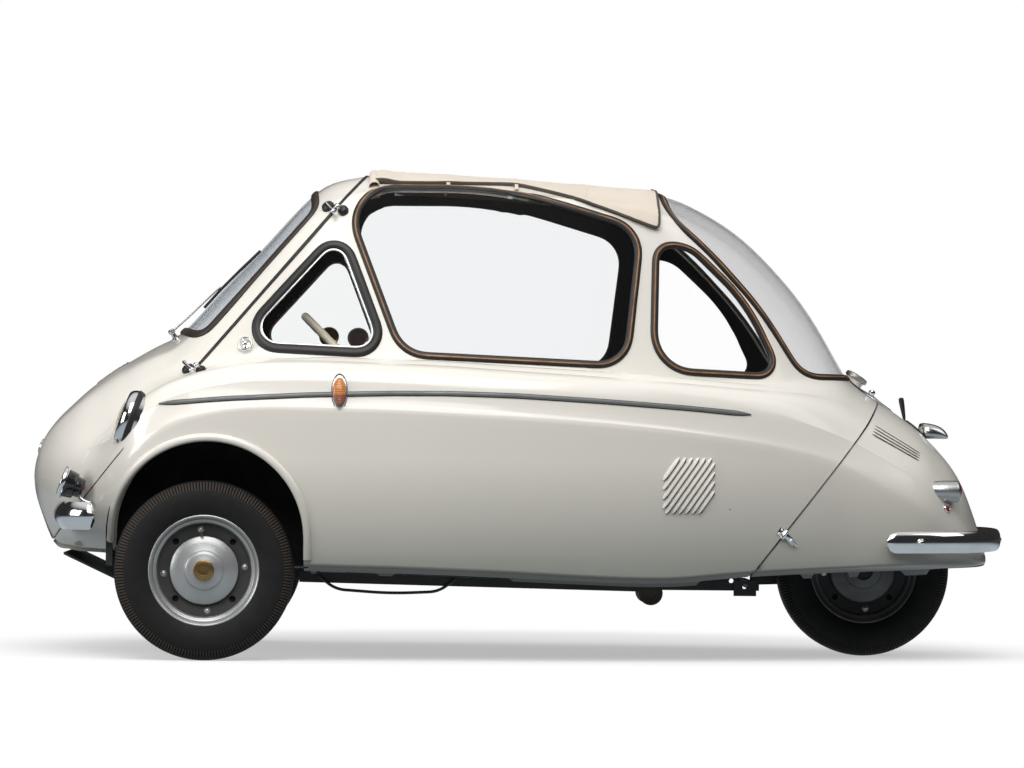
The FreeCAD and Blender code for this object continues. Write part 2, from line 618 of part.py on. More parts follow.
# the indicator is an egg on the widest part of the wing
INDICATOR_CENTRE, INDICATOR_SIZE = V(478, 682, 694), V(20, 26, 45)
indicator = Part.makeSphere(1.0)
stretch = FreeCAD.Matrix()
stretch.scale(INDICATOR_SIZE)
indicator = indicator.transformGeometry(stretch)
indicator.translate(INDICATOR_CENTRE)
indicator = indicator.cut(outside)
feature("side_indicators", Part.makeCompound(both_sides(indicator)))

tail_lamp = rod((TAIL_LAMP_X[0], TAIL_LAMP_Y, TAIL_LAMP_Z), (TAIL_LAMP_X[1], TAIL_LAMP_Y, TAIL_LAMP_Z),
                TAIL_LAMP_RADIUS)
feature("tail_lamps", Part.makeCompound(both_sides(tail_lamp)))
plate_lamp = prism([(-1100, 634), (-1166, 598), (-1170, 584), (-1112, 598), (-1092, 618)], 0.2, -55, 55)
feature("plate_lamp", plate_lamp.cut(body_solid(-1)))


# ---------------------------------------------------------------- bumpers and outside fittings
def bar_along(route, softness, width, height):
    """A bar of rounded section swept along lines and tangent arcs in a level plane."""
    points = [V(*p) for p in route]
    edges = []
    last = points[0]
    for i in range(1, len(points) - 1):
        before, here, after = points[i - 1], points[i], points[i + 1]
        reach = softness * min((here - before).Length, (after - here).Length)
        u = (before - here).normalize()
        v = (after - here).normalize()
        half = math.acos(u.dot(v)) / 2
        radius = reach * math.tan(half)
        middle = (u + v).normalize()
        top = here + middle * (radius / math.sin(half) - radius)
        edges.append(Part.LineSegment(last, here + u * reach).toShape())
        edges.append(Part.Arc(here + u * reach, top, here + v * reach).toShape())
        last = here + v * reach
    edges.append(Part.LineSegment(last, points[-1]).toShape())
    path = Part.Wire(edges)
    forward = (points[1] - points[0]).normalize()
    side = V(0, 0, 1).cross(forward)
    a, b = width / 2, height / 2
    corners = [points[0] + side * y + V(0, 0, z) for y, z in ((a, b * 0.5), (0, b), (-a, b * 0.5),
                                                               (-a, -b * 0.5), (0, -b), (a, -b * 0.5))]
    profile = Part.makePolygon(corners + corners[:1])
    return path.makePipeShell([profile], True, False)


FRONT_BAR = ((1104, 622, 371), (1196, 560, 371), (1222, 350, 371))
front_bar = fused([bar_along(FRONT_BAR, 0.45, 24, 72), rod((1140, 440, 371), (1212, 440, 371), 9)])
feature("front_bumpers", Part.makeCompound(both_sides(front_bar.cut(outside))))

REAR_HALF = ((-958, 462, 322), (-1180, 418, 322), (-1293, 240, 322))
rear_route = REAR_HALF + tuple((x, -y, z) for x, y, z in reversed(REAR_HALF))
brackets = both_sides(rod((-1240, 150, 322), (-1290, 150, 322), 10))
feature("rear_bumper", fused([bar_along(rear_route, 0.42, 24, 62)] + brackets).cut(outside))

filler = fused([rod((-890, 0, 716), (-915, 0, 748), 24), rod((-908, 0, 739), (-920, 0, 754.5), 32)])
feature("fuel_filler", filler.cut(outside))

hinge_fixed, hinge_moving = [], []
for y in (-120, 120):
    hinge_fixed.append(rod((-948, y - 12, 711), (-948, y + 12, 711), 7))
    hinge_fixed.append(prism([(-948, 718), (-948, 711), (-880, 768), (-884, 774)], 0, y - 12, y + 12))
    for low in (y - 26, y + 12.5):
        hinge_moving.append(rod((-948, low, 711), (-948, low + 13.5, 711), 7))
        hinge_moving.append(prism([(-948, 718), (-948, 704), (-1000, 684), (-1004, 690)], 0, low, low + 13.5))
feature("tail_hinge_bases", Part.makeCompound([
    fused(hinge_fixed[i:i + 2]).cut(outside) for i in range(0, len(hinge_fixed), 2)]))
feature("tail_hinge_leaves", Part.makeCompound([
    fused(hinge_moving[i:i + 2]).cut(outside) for i in range(0, len(hinge_moving), 2)]))

PINS = ((V(857, 533, 757), V(886, 496, 771), V(840, 520, 748)), (V(495, 459, 1177), V(520, 424, 1190), V(474, 430, 1168)))
pin_axis = (PINS[1][0] - PINS[0][0]).normalize()
arms, bases = [], []
for pivot, door_end, body_end in PINS:
    arms.append(fused([
        Part.makeCylinder(8, 12, pivot - pin_axis * 16, pin_axis),
        rod(tuple(pivot - pin_axis * 10), tuple(door_end), 5),
    ]))
    bases.append(fused([
        Part.makeCylinder(8, 12, pivot + pin_axis, pin_axis),
        rod(tuple(pivot + pin_axis * 8), tuple(body_end), 5),
    ]))
feature("door_hinge_arms", Part.makeCompound([a.cut(outside) for a in arms]))
feature("door_hinge_bases", Part.makeCompound([b.cut(outside) for b in bases]))

NOSE_SLOPE = 37.4
vent = block((-54, 54), (-80, 80), (0, 5))
vent.rotate(V(), V(0, 1, 0), NOSE_SLOPE)
vent.translate(V(1092, 0, 770))
feature("vent_flap", vent.cut(outside))
boss = rod((1280, 0, 545), (1296, 0, 552), 20)
feature("nose_boss", boss.cut(outside))
wiper = fused([rod((915, 150, 848), (932, 150, 888), 12), rod((928, 150, 884), (790, 20, 1030), 4)])
feature("wiper", wiper.cut(outside))
catch = rod((713, 480, 838), (713, 545, 838), 6).fuse(rod((713, 545, 838), (713, 553, 838), 20))
feature("pillar_catches", Part.makeCompound(both_sides(catch.cut(outside))))

PIPE_ROUTE = ((530, 362, 212), (486, 362, 178), (340, 362, 168), (215, 362, 174), (170, 362, 208))


def pipe_along(route, softness, radius):
    """A round pipe along straight runs joined by tangent arcs in one plane."""
    points = [V(*p) for p in route]
    edges = []
    last = points[0]
    for i in range(1, len(points) - 1):
        before, here, after = points[i - 1], points[i], points[i + 1]
        reach = softness * min((here - before).Length, (after - here).Length)
        u = (before - here).normalize()
        v = (after - here).normalize()
        half = math.acos(u.dot(v)) / 2
        bend = reach * math.tan(half)
        middle = (u + v).normalize()
        top = here + middle * (bend / math.sin(half) - bend)
        edges.append(Part.LineSegment(last, here + u * reach).toShape())
        edges.append(Part.Arc(here + u * reach, top, here + v * reach).toShape())
        last = here + v * reach
    edges.append(Part.LineSegment(last, points[-1]).toShape())
    ring = Part.Wire([Part.makeCircle(radius, points[0], points[1] - points[0])])
    return Part.Wire(edges).makePipeShell([ring], True, False)


feature("brake_pipe", pipe_along(PIPE_ROUTE, 0.45, 4))

latch = block((-700, -655), (524, 548), (318, 340))
feature("cover_latches", Part.makeCompound(both_sides(latch.cut(outside))))
feature("cover_buffer", block((-1052, -1042), (-8, 8), (640, 704)).cut(outside))

# ---------------------------------------------------------------- check and write
doc.recompute()
faults = []
for obj in doc.Objects:
    if any(state in ("Invalid", "Error") for state in obj.State):
        faults.append(f"{obj.Name} is {obj.State}")
for name, obj in parts.items():
    if obj.Shape.isNull() or not obj.Shape.isValid():
        faults.append(f"{name} has no valid shape")
for name, obj in parts.items():
    print(f"{name:24s} solids {len(obj.Shape.Solids)}  litres {obj.Shape.Volume / 1e6:8.3f}", obj.Shape.isValid())
if faults:
    raise SystemExit("\n".join(faults))

os.makedirs("parts", exist_ok=True)
for old in os.listdir("parts"):
    os.remove(os.path.join("parts", old))
for name, obj in parts.items():
    obj.Shape.exportStep(f"parts/{name}.step")
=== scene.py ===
"""The looks of a three-wheeled bubble car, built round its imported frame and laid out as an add-on.

Every length in the tables is in millimetres; MM turns them into metres.
+X is the nose, +Y the car's left, +Z up, and the ground is at Z 0.
"""
import math

import bmesh
import bpy
import numpy as np
from mathutils import Matrix, Vector
from mathutils.bvhtree import BVHTree


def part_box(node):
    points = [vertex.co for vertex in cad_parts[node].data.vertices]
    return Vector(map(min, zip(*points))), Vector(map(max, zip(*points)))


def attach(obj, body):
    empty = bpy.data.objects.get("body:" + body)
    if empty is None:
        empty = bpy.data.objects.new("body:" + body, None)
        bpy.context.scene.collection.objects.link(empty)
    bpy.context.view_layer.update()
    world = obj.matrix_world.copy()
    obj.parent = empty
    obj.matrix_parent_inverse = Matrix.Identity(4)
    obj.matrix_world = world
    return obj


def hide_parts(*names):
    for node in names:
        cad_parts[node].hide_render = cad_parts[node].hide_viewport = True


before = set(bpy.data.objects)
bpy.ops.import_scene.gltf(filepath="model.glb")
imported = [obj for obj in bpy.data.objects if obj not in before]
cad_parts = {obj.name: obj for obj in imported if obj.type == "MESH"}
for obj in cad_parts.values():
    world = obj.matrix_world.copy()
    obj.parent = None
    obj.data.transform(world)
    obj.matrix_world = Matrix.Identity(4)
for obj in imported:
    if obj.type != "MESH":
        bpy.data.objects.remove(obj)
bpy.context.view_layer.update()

bl_info = {
    "name": "Bubble Car",
    "version": (1, 0, 0),
    "blender": (4, 5, 0),
    "location": "3D View > Sidebar > Bubble Car",
    "description": "Dresses the frame of a three-wheeled bubble car with panels, glass, trim and wheels",
    "category": "Add Mesh",
}

MM = 0.001
LEFT, RIGHT = 1, -1
FAR, OUTSIDE = 900, 1700
RIM_SPACING = 9.0

# ---------------------------------------------------------------- body lines
# Cross sections of the body, nose to tail.  Columns: x | height on the centre line | y z of the roof corner |
# y z of the valley beside the cabin | y z of the wing's shoulder | y z of the wing's side |
# y z of the sill | height of the underside | softness of the roof corner
SECTIONS = (
    (1301, 508, 46, 500, 70, 486, 82, 474, 82, 458, 56, 442, 434, 0.45),
    (1290, 541, 78, 530, 112, 506, 132, 482, 134, 452, 94, 414, 400, 0.45),
    (1274, 580, 118, 562, 168, 522, 190, 486, 192, 440, 138, 382, 362, 0.45),
    (1238, 630, 180, 604, 246, 548, 280, 494, 286, 418, 214, 322, 290, 0.45),
    (1200, 668, 226, 638, 304, 564, 350, 504, 362, 416, 292, 302, 276, 0.45),
    (1163, 704, 262, 668, 352, 566, 412, 508, 430, 416, 366, 296, 272, 0.45),
    (1120, 739, 290, 698, 394, 570, 482, 522, 506, 424, 446, 294, 271, 0.45),
    (1078, 769, 314, 726, 428, 586, 546, 566, 584, 452, 524, 292, 270, 0.45),
    (1045, 789, 330, 744, 442, 614, 582, 620, 630, 498, 578, 288, 269, 0.44),
    (1013, 808, 346, 762, 450, 642, 600, 668, 658, 548, 620, 284, 268, 0.43),
    (960, 838, 372, 786, 468, 682, 614, 706, 676, 592, 656, 272, 262, 0.42),
    (903, 876, 398, 814, 492, 714, 626, 732, 684, 624, 668, 260, 252, 0.41),
    (813, 978, 424, 898, 512, 744, 638, 758, 690, 648, 672, 250, 244, 0.38),
    (723, 1076, 436, 984, 526, 762, 646, 774, 692, 660, 674, 242, 238, 0.35),
    (636, 1168, 436, 1092, 536, 768, 650, 779, 692, 662, 674, 238, 236, 0.32),
    (548, 1252, 428, 1196, 542, 770, 652, 780, 692, 660, 672, 236, 234, 0.30),
    (460, 1284, 424, 1244, 545, 769, 652, 778, 690, 658, 670, 234, 232, 0.28),
    (340, 1290, 422, 1262, 546, 766, 650, 774, 688, 656, 667, 232, 229, 0.27),
    (200, 1280, 421, 1261, 545, 762, 646, 768, 684, 650, 662, 228, 225, 0.26),
    (23, 1268, 419, 1252, 538, 752, 632, 756, 668, 640, 646, 222, 218, 0.26),
    (-160, 1260, 412, 1236, 527, 744, 612, 744, 646, 628, 624, 214, 211, 0.27),
    (-347, 1254, 398, 1210, 510, 734, 588, 730, 616, 612, 594, 210, 206, 0.30),
    (-460, 1226, 370, 1162, 488, 728, 562, 720, 592, 600, 570, 216, 212, 0.34),
    (-577, 1160, 334, 1086, 456, 722, 532, 708, 562, 586, 540, 226, 222, 0.38),
    (-680, 1068, 290, 990, 412, 720, 498, 694, 530, 570, 512, 232, 228, 0.41),
    (-767, 966, 246, 888, 354, 722, 462, 674, 500, 552, 488, 236, 232, 0.43),
    (-835, 850, 202, 802, 312, 714, 430, 650, 474, 532, 466, 239, 235, 0.44),
    (-880, 764, 178, 744, 290, 694, 410, 630, 460, 514, 454, 240, 236, 0.45),
    (-940, 712, 160, 698, 270, 662, 388, 598, 442, 484, 440, 242, 238, 0.45),
    (-1047, 640, 145, 628, 244, 594, 350, 534, 408, 430, 408, 245, 241, 0.45),
    (-1107, 588, 136, 576, 224, 542, 314, 484, 374, 388, 378, 248, 244, 0.45),
    (-1150, 541, 128, 530, 206, 496, 282, 440, 344, 354, 352, 250, 246, 0.45),
    (-1187, 487, 118, 477, 186, 443, 252, 390, 312, 322, 322, 252, 247, 0.45),
    (-1215, 423, 110, 414, 168, 383, 222, 340, 276, 294, 288, 254, 248, 0.45),
    (-1237, 360, 100, 353, 148, 332, 190, 306, 236, 280, 246, 258, 250, 0.45),
    (-1255, 302, 84, 298, 120, 290, 152, 280, 180, 270, 184, 262, 255, 0.45),
)
CORNER_SOFTNESS = (0.45, None, 0.42, 0.46, 0.46, 0.42, 0.42)
FLAT_UNDERSIDE = 0.80

# outlines in the side view: x, z and how round each corner is
FRONT_QUARTER = ((759, 815, 0.28), (482, 1121, 0.22), (359, 797, 0.22))
SIDE_WINDOW = ((483, 1236, 0.33), (58, 1238, 0.4), (-304, 1130, 0.2), (-264, 774, 0.2), (316, 798, 0.13))
REAR_QUARTER = ((-350, 1090, 0.45), (-436, 1086, 0.45), (-588, 942, 0.42), (-680, 750, 0.3), (-342, 764, 0.3))
WINDSCREEN = ((920, 868, 0), (842, 838, 0.4), (548, 1176, 0.3), (560, 1252, 0.3), (560, OUTSIDE, 0),
              (1500, OUTSIDE, 0), (1500, 868, 0))
REAR_WINDOW = ((-374, OUTSIDE, 0), (-374, 1180, 0.4), (-492, 1078, 0.4), (-632, 926, 0.4), (-742, 752, 0.3),
               (-900, 752, 0), (-900, OUTSIDE, 0))
ROOF_EDGE = ((396, 1246, 0), (20, 1247, 0.4), (-92, 1221, 0.4), (-223, 1180, 0.4), (-352, 1130, 0),
             (-352, OUTSIDE, 0), (396, OUTSIDE, 0))
ROOF_OPENING = ((340, 1180, 0), (-300, 1180, 0), (-300, OUTSIDE, 0), (340, OUTSIDE, 0))
ARCH = ((566, -100, 0), (566, 317, 0), (566, 566, 0.999), (1064, 566, 0.999), (1064, 317, 0), (1064, -100, 0))
UNDERSIDE_OPENING = ((-342, 430), (-600, 420), (-900, 370), (-1090, 300), (-1195, 200))
# the front door between the wings, seen from the front: y, z
DOOR_EDGE = ((430, -300), (430, 548), (448, 640), (508, 750), (900, 750), (900, OUTSIDE))
# shut planes: x, z of a point and the slope down the car
DOOR_PLANE = (823, 791, 1.172)
TAIL_PLANE = (-609, 240, 1.258)


# ---------------------------------------------------------------- settings
class CarSizes(bpy.types.PropertyGroup):
    """Sizes that a user may change."""

    panel_gap: bpy.props.FloatProperty(
        name="Panel Gap", description="Width of the shut lines round door and tail", default=0.006,
        unit="LENGTH")
    panel_depth: bpy.props.FloatProperty(
        name="Panel Depth", description="Depth of the folded edge of each body panel", default=0.014,
        unit="LENGTH")
    glass_depth: bpy.props.FloatProperty(
        name="Glass Depth", description="Thickness of the window panes", default=0.004, unit="LENGTH")
    seal_rise: bpy.props.FloatProperty(
        name="Seal Rise", description="How far the window rubbers stand off the panel", default=0.0055,
        unit="LENGTH")
    roof_depth: bpy.props.FloatProperty(
        name="Roof Depth", description="Thickness of the folded roof cloth", default=0.005, unit="LENGTH")
    louvre_rise: bpy.props.FloatProperty(
        name="Louvre Rise", description="How far the pressed louvres stand out", default=0.006, unit="LENGTH")


class CarFinishes(bpy.types.PropertyGroup):
    """Colours that a user may change."""

    paint: bpy.props.FloatVectorProperty(
        name="Paint", description="Body colour", subtype="COLOR", size=3, default=(0.745, 0.715, 0.655))
    roof: bpy.props.FloatVectorProperty(
        name="Roof Cloth", description="Colour of the roof cloth", subtype="COLOR", size=3,
        default=(0.70, 0.62, 0.52))
    seats: bpy.props.FloatVectorProperty(
        name="Seat Cloth", description="Colour of the seat covers", subtype="COLOR", size=3,
        default=(0.30, 0.07, 0.06))
    bead: bpy.props.FloatVectorProperty(
        name="Seal Bead", description="Colour of the thin bead in the window rubbers", subtype="COLOR",
        size=3, default=(0.42, 0.19, 0.05))


# ---------------------------------------------------------------- modelling helpers
def clear_selection():
    """Leaves edit mode and deselects everything."""
    if bpy.context.object and bpy.context.object.mode != "OBJECT":
        bpy.ops.object.mode_set(mode="OBJECT")
    bpy.ops.object.select_all(action="DESELECT")


def pick(obj):
    """Makes one object the only selected and active one."""
    clear_selection()
    obj.select_set(True)
    bpy.context.view_layer.objects.active = obj
    return obj


def from_points(name, points, faces):
    """A mesh object from points in metres."""
    mesh = bpy.data.meshes.new(name)
    mesh.from_pydata([tuple(p) for p in points], (), faces)
    mesh.update()
    obj = bpy.data.objects.new(name, mesh)
    bpy.context.scene.collection.objects.link(obj)
    return obj


def grid_faces(rows, width, looped=False, ringed=True, flip=False):
    """Faces over rows of points: looped joins the last row to the first, ringed the ends of each row."""
    faces = [(i * width + j, i * width + (j + 1) % width, (i + 1) % rows * width + (j + 1) % width,
              (i + 1) % rows * width + j)
             for i in range(rows if looped else rows - 1) for j in range(width if ringed else width - 1)]
    return [(a, d, c, b) for a, b, c, d in faces] if flip else faces


def end_faces(rows, width):
    """The two faces that close the first and the last row of a grid."""
    return [tuple(range(width)), tuple(reversed(range((rows - 1) * width, rows * width)))]


def copy_of(obj, name):
    """A copy with its own mesh."""
    twin = obj.copy()
    twin.data = obj.data.copy()
    twin.name = twin.data.name = name
    bpy.context.scene.collection.objects.link(twin)
    return twin


def applied(obj, kind, **settings):
    """Adds one modifier with its settings and applies it."""
    pick(obj)
    modifier = obj.modifiers.new(kind.title(), kind)
    for key, value in settings.items():
        setattr(modifier, key, value)
    bpy.ops.object.modifier_apply(modifier=modifier.name)
    return obj


def removed(*objects):
    """Deletes helper objects."""
    for obj in objects:
        bpy.data.objects.remove(obj, do_unlink=True)


def joined(name, pieces):
    """One object from several."""
    clear_selection()
    for piece in pieces:
        piece.select_set(True)
    bpy.context.view_layer.objects.active = pieces[0]
    if len(pieces) > 1:
        bpy.ops.object.join()
    pieces[0].name = pieces[0].data.name = name
    return pieces[0]


def mirrored(obj):
    """Adds the mirror image on the car's right to the same piece."""
    twin = copy_of(obj, obj.name + "_twin")
    twin.data.transform(Matrix.Scale(-1, 4, (0, 1, 0)))
    twin.data.flip_normals()
    return joined(obj.name, [obj, twin])


def outwards(obj):
    """Merges doubled points and turns every face outwards."""
    pick(obj)
    bpy.ops.object.mode_set(mode="EDIT")
    bpy.ops.mesh.select_all(action="SELECT")
    bpy.ops.mesh.remove_doubles(threshold=0.00005)
    bpy.ops.mesh.normals_make_consistent(inside=False)
    bpy.ops.object.mode_set(mode="OBJECT")
    return obj


def smooth(obj, angle=35):
    """Smooth shading that keeps edges sharper than an angle."""
    pick(obj)
    bpy.ops.object.shade_smooth_by_angle(angle=math.radians(angle), keep_sharp_edges=True)
    return obj


def finished(obj, material, body, replaced=()):
    """Gives a piece its finish, the body it rides on and the frame nodes it stands for."""
    if not all(obj.data.materials) or not obj.data.materials:
        obj.data.materials.clear()
        obj.data.materials.append(material)
    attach(obj, body)
    if replaced:
        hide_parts(*replaced)
    return obj


def lathe(name, profile, centre, axis, segments=48):
    """A turned piece: a circle extruded and resized along a radius and height profile, set on its axis."""
    clear_selection()
    radius, height = profile[0]
    bpy.ops.mesh.primitive_circle_add(vertices=segments, radius=max(radius, 0.01) * MM, fill_type="NOTHING",
                                      location=(0, 0, height * MM))
    obj = bpy.context.object
    obj.name = obj.data.name = name
    bpy.ops.object.transform_apply(location=True, rotation=True, scale=True)
    bpy.ops.object.mode_set(mode="EDIT")
    bpy.ops.mesh.select_all(action="SELECT")
    last_radius, last_height = max(radius, 0.01), height
    for radius, height in profile[1:]:
        radius = max(radius, 0.01)
        rise = (0, 0, (height - last_height) * MM)
        bpy.ops.mesh.extrude_region_move(TRANSFORM_OT_translate={"value": rise})
        scale = radius / last_radius
        bpy.ops.transform.resize(value=(scale, scale, 1), center_override=(0, 0, height * MM))
        last_radius, last_height = radius, height
    bpy.ops.mesh.select_all(action="SELECT")
    bpy.ops.mesh.remove_doubles(threshold=0.00005)
    bpy.ops.mesh.normals_make_consistent(inside=False)
    bpy.ops.object.mode_set(mode="OBJECT")
    set_on(obj, centre, axis)
    return obj


def set_on(obj, centre, axis, across=None):
    """Turns a piece made round Z onto an axis and moves its mesh to a centre in millimetres."""
    z = Vector(axis).normalized()
    if across is None:
        turn = z.to_track_quat("Z", "Y").to_matrix().to_4x4()
    else:
        x = Vector(across)
        x = (x - z * x.dot(z)).normalized()
        y = z.cross(x)
        turn = Matrix((x, y, z)).transposed().to_4x4()
    obj.data.transform(Matrix.Translation(Vector(centre) * MM) @ turn)
    return obj


def spun(name, profile, centre, axis, segments=48, angle=40):
    """A turned piece with smooth shading."""
    return smooth(lathe(name, profile, centre, axis, segments), angle)


def slab(name, low, high, bevel=2.0, segments=3):
    """A block between two corners in millimetres, with bevelled edges."""
    clear_selection()
    size = [(b - a) * MM for a, b in zip(low, high)]
    middle = [(a + b) / 2 * MM for a, b in zip(low, high)]
    bpy.ops.mesh.primitive_cube_add(size=1, location=middle, scale=size)
    obj = bpy.context.object
    obj.name = obj.data.name = name
    bpy.ops.object.transform_apply(location=True, rotation=True, scale=True)
    if bevel:
        bpy.ops.object.mode_set(mode="EDIT")
        bpy.ops.mesh.select_all(action="SELECT")
        bpy.ops.mesh.bevel(offset=bevel * MM, segments=segments, affect="EDGES")
        bpy.ops.object.mode_set(mode="OBJECT")
    return obj


def tube(name, route, radius, closed=False, resolution=6):
    """A round bar that follows points in millimetres, as a bevelled curve turned into a mesh."""
    curve = bpy.data.curves.new(name, "CURVE")
    curve.dimensions = "3D"
    curve.bevel_depth = radius * MM
    curve.bevel_resolution = resolution
    curve.use_fill_caps = True
    spline = curve.splines.new("NURBS")
    spline.points.add(len(route) - 1)
    for point, place in zip(spline.points, route):
        point.co = (*[v * MM for v in place[:3]], 1)
    spline.order_u = min(3, len(route))
    spline.use_endpoint_u = not closed
    spline.use_cyclic_u = closed
    spline.resolution_u = 8
    holder = bpy.data.objects.new(name, curve)
    bpy.context.scene.collection.objects.link(holder)
    mesh = bpy.data.meshes.new_from_object(holder.evaluated_get(bpy.context.evaluated_depsgraph_get()))
    bpy.data.objects.remove(holder)
    bpy.data.curves.remove(curve)
    obj = bpy.data.objects.new(name, mesh)
    mesh.name = name
    bpy.context.scene.collection.objects.link(obj)
    return outwards(obj)


# ---------------------------------------------------------------- body surface
def rounded_targets(points, softness):
    """Three points on the rounded outline for each corner: where its arc starts, its top and its end."""
    count = len(points)
    out = []
    for i in range(count):
        before, here, after = (np.array(points[k % count], float) for k in (i - 1, i, i + 1))
        reach = softness[i] * min(np.linalg.norm(here - before), np.linalg.norm(after - here))
        u = (before - here) / np.linalg.norm(before - here)
        v = (after - here) / np.linalg.norm(after - here)
        half = math.acos(max(-1.0, min(1.0, float(u @ v)))) / 2
        radius = reach * math.tan(half)
        middle = u + v
        length = np.linalg.norm(middle)
        top = here if length < 1e-6 else here + middle / length * (radius / math.sin(half) - radius)
        out += [here + u * reach, top, here + v * reach]
    return out


def section_targets(row):
    """One cross section as points on its rounded outline."""
    x, top, y1, z1, y2, z2, y3, z3, y4, z4, y5, z5, under, soft = row
    half = [(y1, z1), (y2, z2), (y3, z3), (y4, z4), (y5, z5), (y5 * FLAT_UNDERSIDE, under)]
    points = [(0, top)] + half + [(-y, z) for y, z in reversed(half)]
    rounding = [soft if s is None else s for s in CORNER_SOFTNESS]
    return [(x, y, z) for y, z in rounded_targets(points, rounding + rounding[:0:-1])]


def smooth_limit(cage):
    """Where a subdivided surface puts each point of its cage: rows are open, rings are closed."""
    rings = (np.roll(cage, 1, 1) + 4 * cage + np.roll(cage, -1, 1)) / 6
    out = rings.copy()
    out[1:-1] = (rings[:-2] + 4 * rings[1:-1] + rings[2:]) / 6
    return out


def body_surface():
    """The whole smooth outside of the car as one closed mesh."""
    targets = np.array([section_targets(row) for row in SECTIONS], float) * MM
    cage = targets.copy()
    for _ in range(12):
        cage += targets - smooth_limit(cage)
    rows, ring = cage.shape[:2]
    points = [tuple(p) for row in cage for p in row]
    faces = grid_faces(rows, ring, flip=True)
    nose, tail = len(points), len(points) + 1
    points += [tuple(cage[0].mean(0) + (0.004, 0, 0)), tuple(cage[-1].mean(0) - (0.004, 0, 0))]
    faces += [(nose, j, (j + 1) % ring) for j in range(ring)]
    faces += [(tail, (rows - 1) * ring + (j + 1) % ring, (rows - 1) * ring + j) for j in range(ring)]
    obj = outwards(from_points("surface", points, faces))
    applied(obj, "SUBSURF", levels=2, render_levels=2)
    return obj


class Skin:
    """The body surface as something to cast rays on and read smooth normals from."""

    def __init__(self, obj):
        mesh = obj.data
        self.tree = BVHTree.FromPolygons([v.co[:] for v in mesh.vertices],
                                         [p.vertices[:] for p in mesh.polygons])
        self.points = np.array([v.co[:] for v in mesh.vertices])
        self.normals = np.array([v.normal[:] for v in mesh.vertices])
        self.faces = [p.vertices[:] for p in mesh.polygons]

    def normal_at(self, place, face):
        """The smooth normal at a place on a face, weighted by nearness to its corners."""
        corners = list(self.faces[face])
        gaps = np.linalg.norm(self.points[corners] - np.array(place), axis=1) + 1e-6
        blend = (self.normals[corners] / gaps[:, None] ** 1.5).sum(0)
        return Vector(blend).normalized()

    def nearest(self, place):
        """The nearest point of the skin and its smooth normal."""
        hit, _, face, _ = self.tree.find_nearest(Vector(place))
        return hit, self.normal_at(hit, face)

    def cast(self, origin, direction):
        """Where a ray in metres meets the skin, and the normal there."""
        hit, _, face, _ = self.tree.ray_cast(Vector(origin), Vector(direction))
        if hit is None:
            raise RuntimeError(f"nothing lies along {tuple(origin)}")
        return hit, self.normal_at(hit, face)

    def on_side(self, x, z, side=LEFT):
        """The point of the car's side at x and z in millimetres."""
        return self.cast((x * MM, side * 2, z * MM), (0, -side, 0))


def rounded_outline(outline, steps=9):
    """Points along a polygon with rounded corners; each corner is a, b and its softness."""
    count = len(outline)
    points = []
    for i in range(count):
        before, here, after = (Vector(outline[k % count][:2]) for k in (i - 1, i, i + 1))
        soft = outline[i][2]
        if not soft:
            points.append(here)
            continue
        u, v = before - here, after - here
        reach = soft * min(u.length, v.length)
        u.normalize()
        v.normalize()
        half = u.angle(v) / 2
        radius = reach * math.tan(half)
        centre = here + (u + v).normalized() * (radius / math.sin(half))
        start, end = here + u * reach - centre, here + v * reach - centre
        sweep = start.angle_signed(end)
        for step in range(steps):
            turn = Matrix.Rotation(-sweep * step / (steps - 1), 2)
            points.append(centre + turn @ start)
    return points


def prism(name, outline, low, high, view="side", steps=9):
    """An outline pushed through the car, from low to high across the view it is drawn in."""
    flat = rounded_outline(outline, steps)
    if view == "side":
        first = [(p.x * MM, low * MM, p.y * MM) for p in flat]
        second = [(p.x * MM, high * MM, p.y * MM) for p in flat]
    elif view == "front":
        first = [(low * MM, p.x * MM, p.y * MM) for p in flat]
        second = [(high * MM, p.x * MM, p.y * MM) for p in flat]
    else:
        first = [(p.x * MM, p.y * MM, low * MM) for p in flat]
        second = [(p.x * MM, p.y * MM, high * MM) for p in flat]
    count = len(flat)
    faces = [tuple(range(count)), tuple(range(2 * count - 1, count - 1, -1))]
    faces += [(i, i + count, (i + 1) % count + count, (i + 1) % count) for i in range(count)]
    obj = outwards(from_points(name, first + second, faces))
    obj.data.materials.append(cutting_material())
    return obj


def cutting_material():
    """A marker that tells cut faces from the skin's own."""
    return bpy.data.materials.get("cut mark") or bpy.data.materials.new("cut mark")


def behind_plane(name, plane, side, gap):
    """A block ahead of (side 1) or behind (side -1) a sloping shut plane, half a gap clear of it."""
    x, z, slope = plane
    run = gap / 2 * math.hypot(1, slope) / slope * side
    low, high = -300, OUTSIDE
    return prism(name, ((x + (z - low) / slope + run, low, 0), (x + (z - high) / slope + run, high, 0),
                        (side * 3000, high, 0), (side * 3000, low, 0)), -FAR, FAR)


def carve(obj, cutter, operation="DIFFERENCE"):
    """Cuts a closed mesh with another."""
    applied(obj, "BOOLEAN", object=cutter, operation=operation, solver="EXACT", material_mode="TRANSFER")
    removed(cutter)
    return obj


def skin_only(obj):
    """Drops the faces that the cutters left, so only the outer skin stays."""
    mark = bpy.data.materials["cut mark"]
    mesh = bmesh.new()
    mesh.from_mesh(obj.data)
    marked = {i for i, material in enumerate(obj.data.materials) if material == mark}
    bmesh.ops.delete(mesh, geom=[f for f in mesh.faces if f.material_index in marked], context="FACES")
    bmesh.ops.remove_doubles(mesh, verts=mesh.verts, dist=0.00003)
    for face in mesh.faces:
        face.material_index = 0
        face.smooth = True
    mesh.to_mesh(obj.data)
    mesh.free()
    obj.data.materials.clear()
    return obj


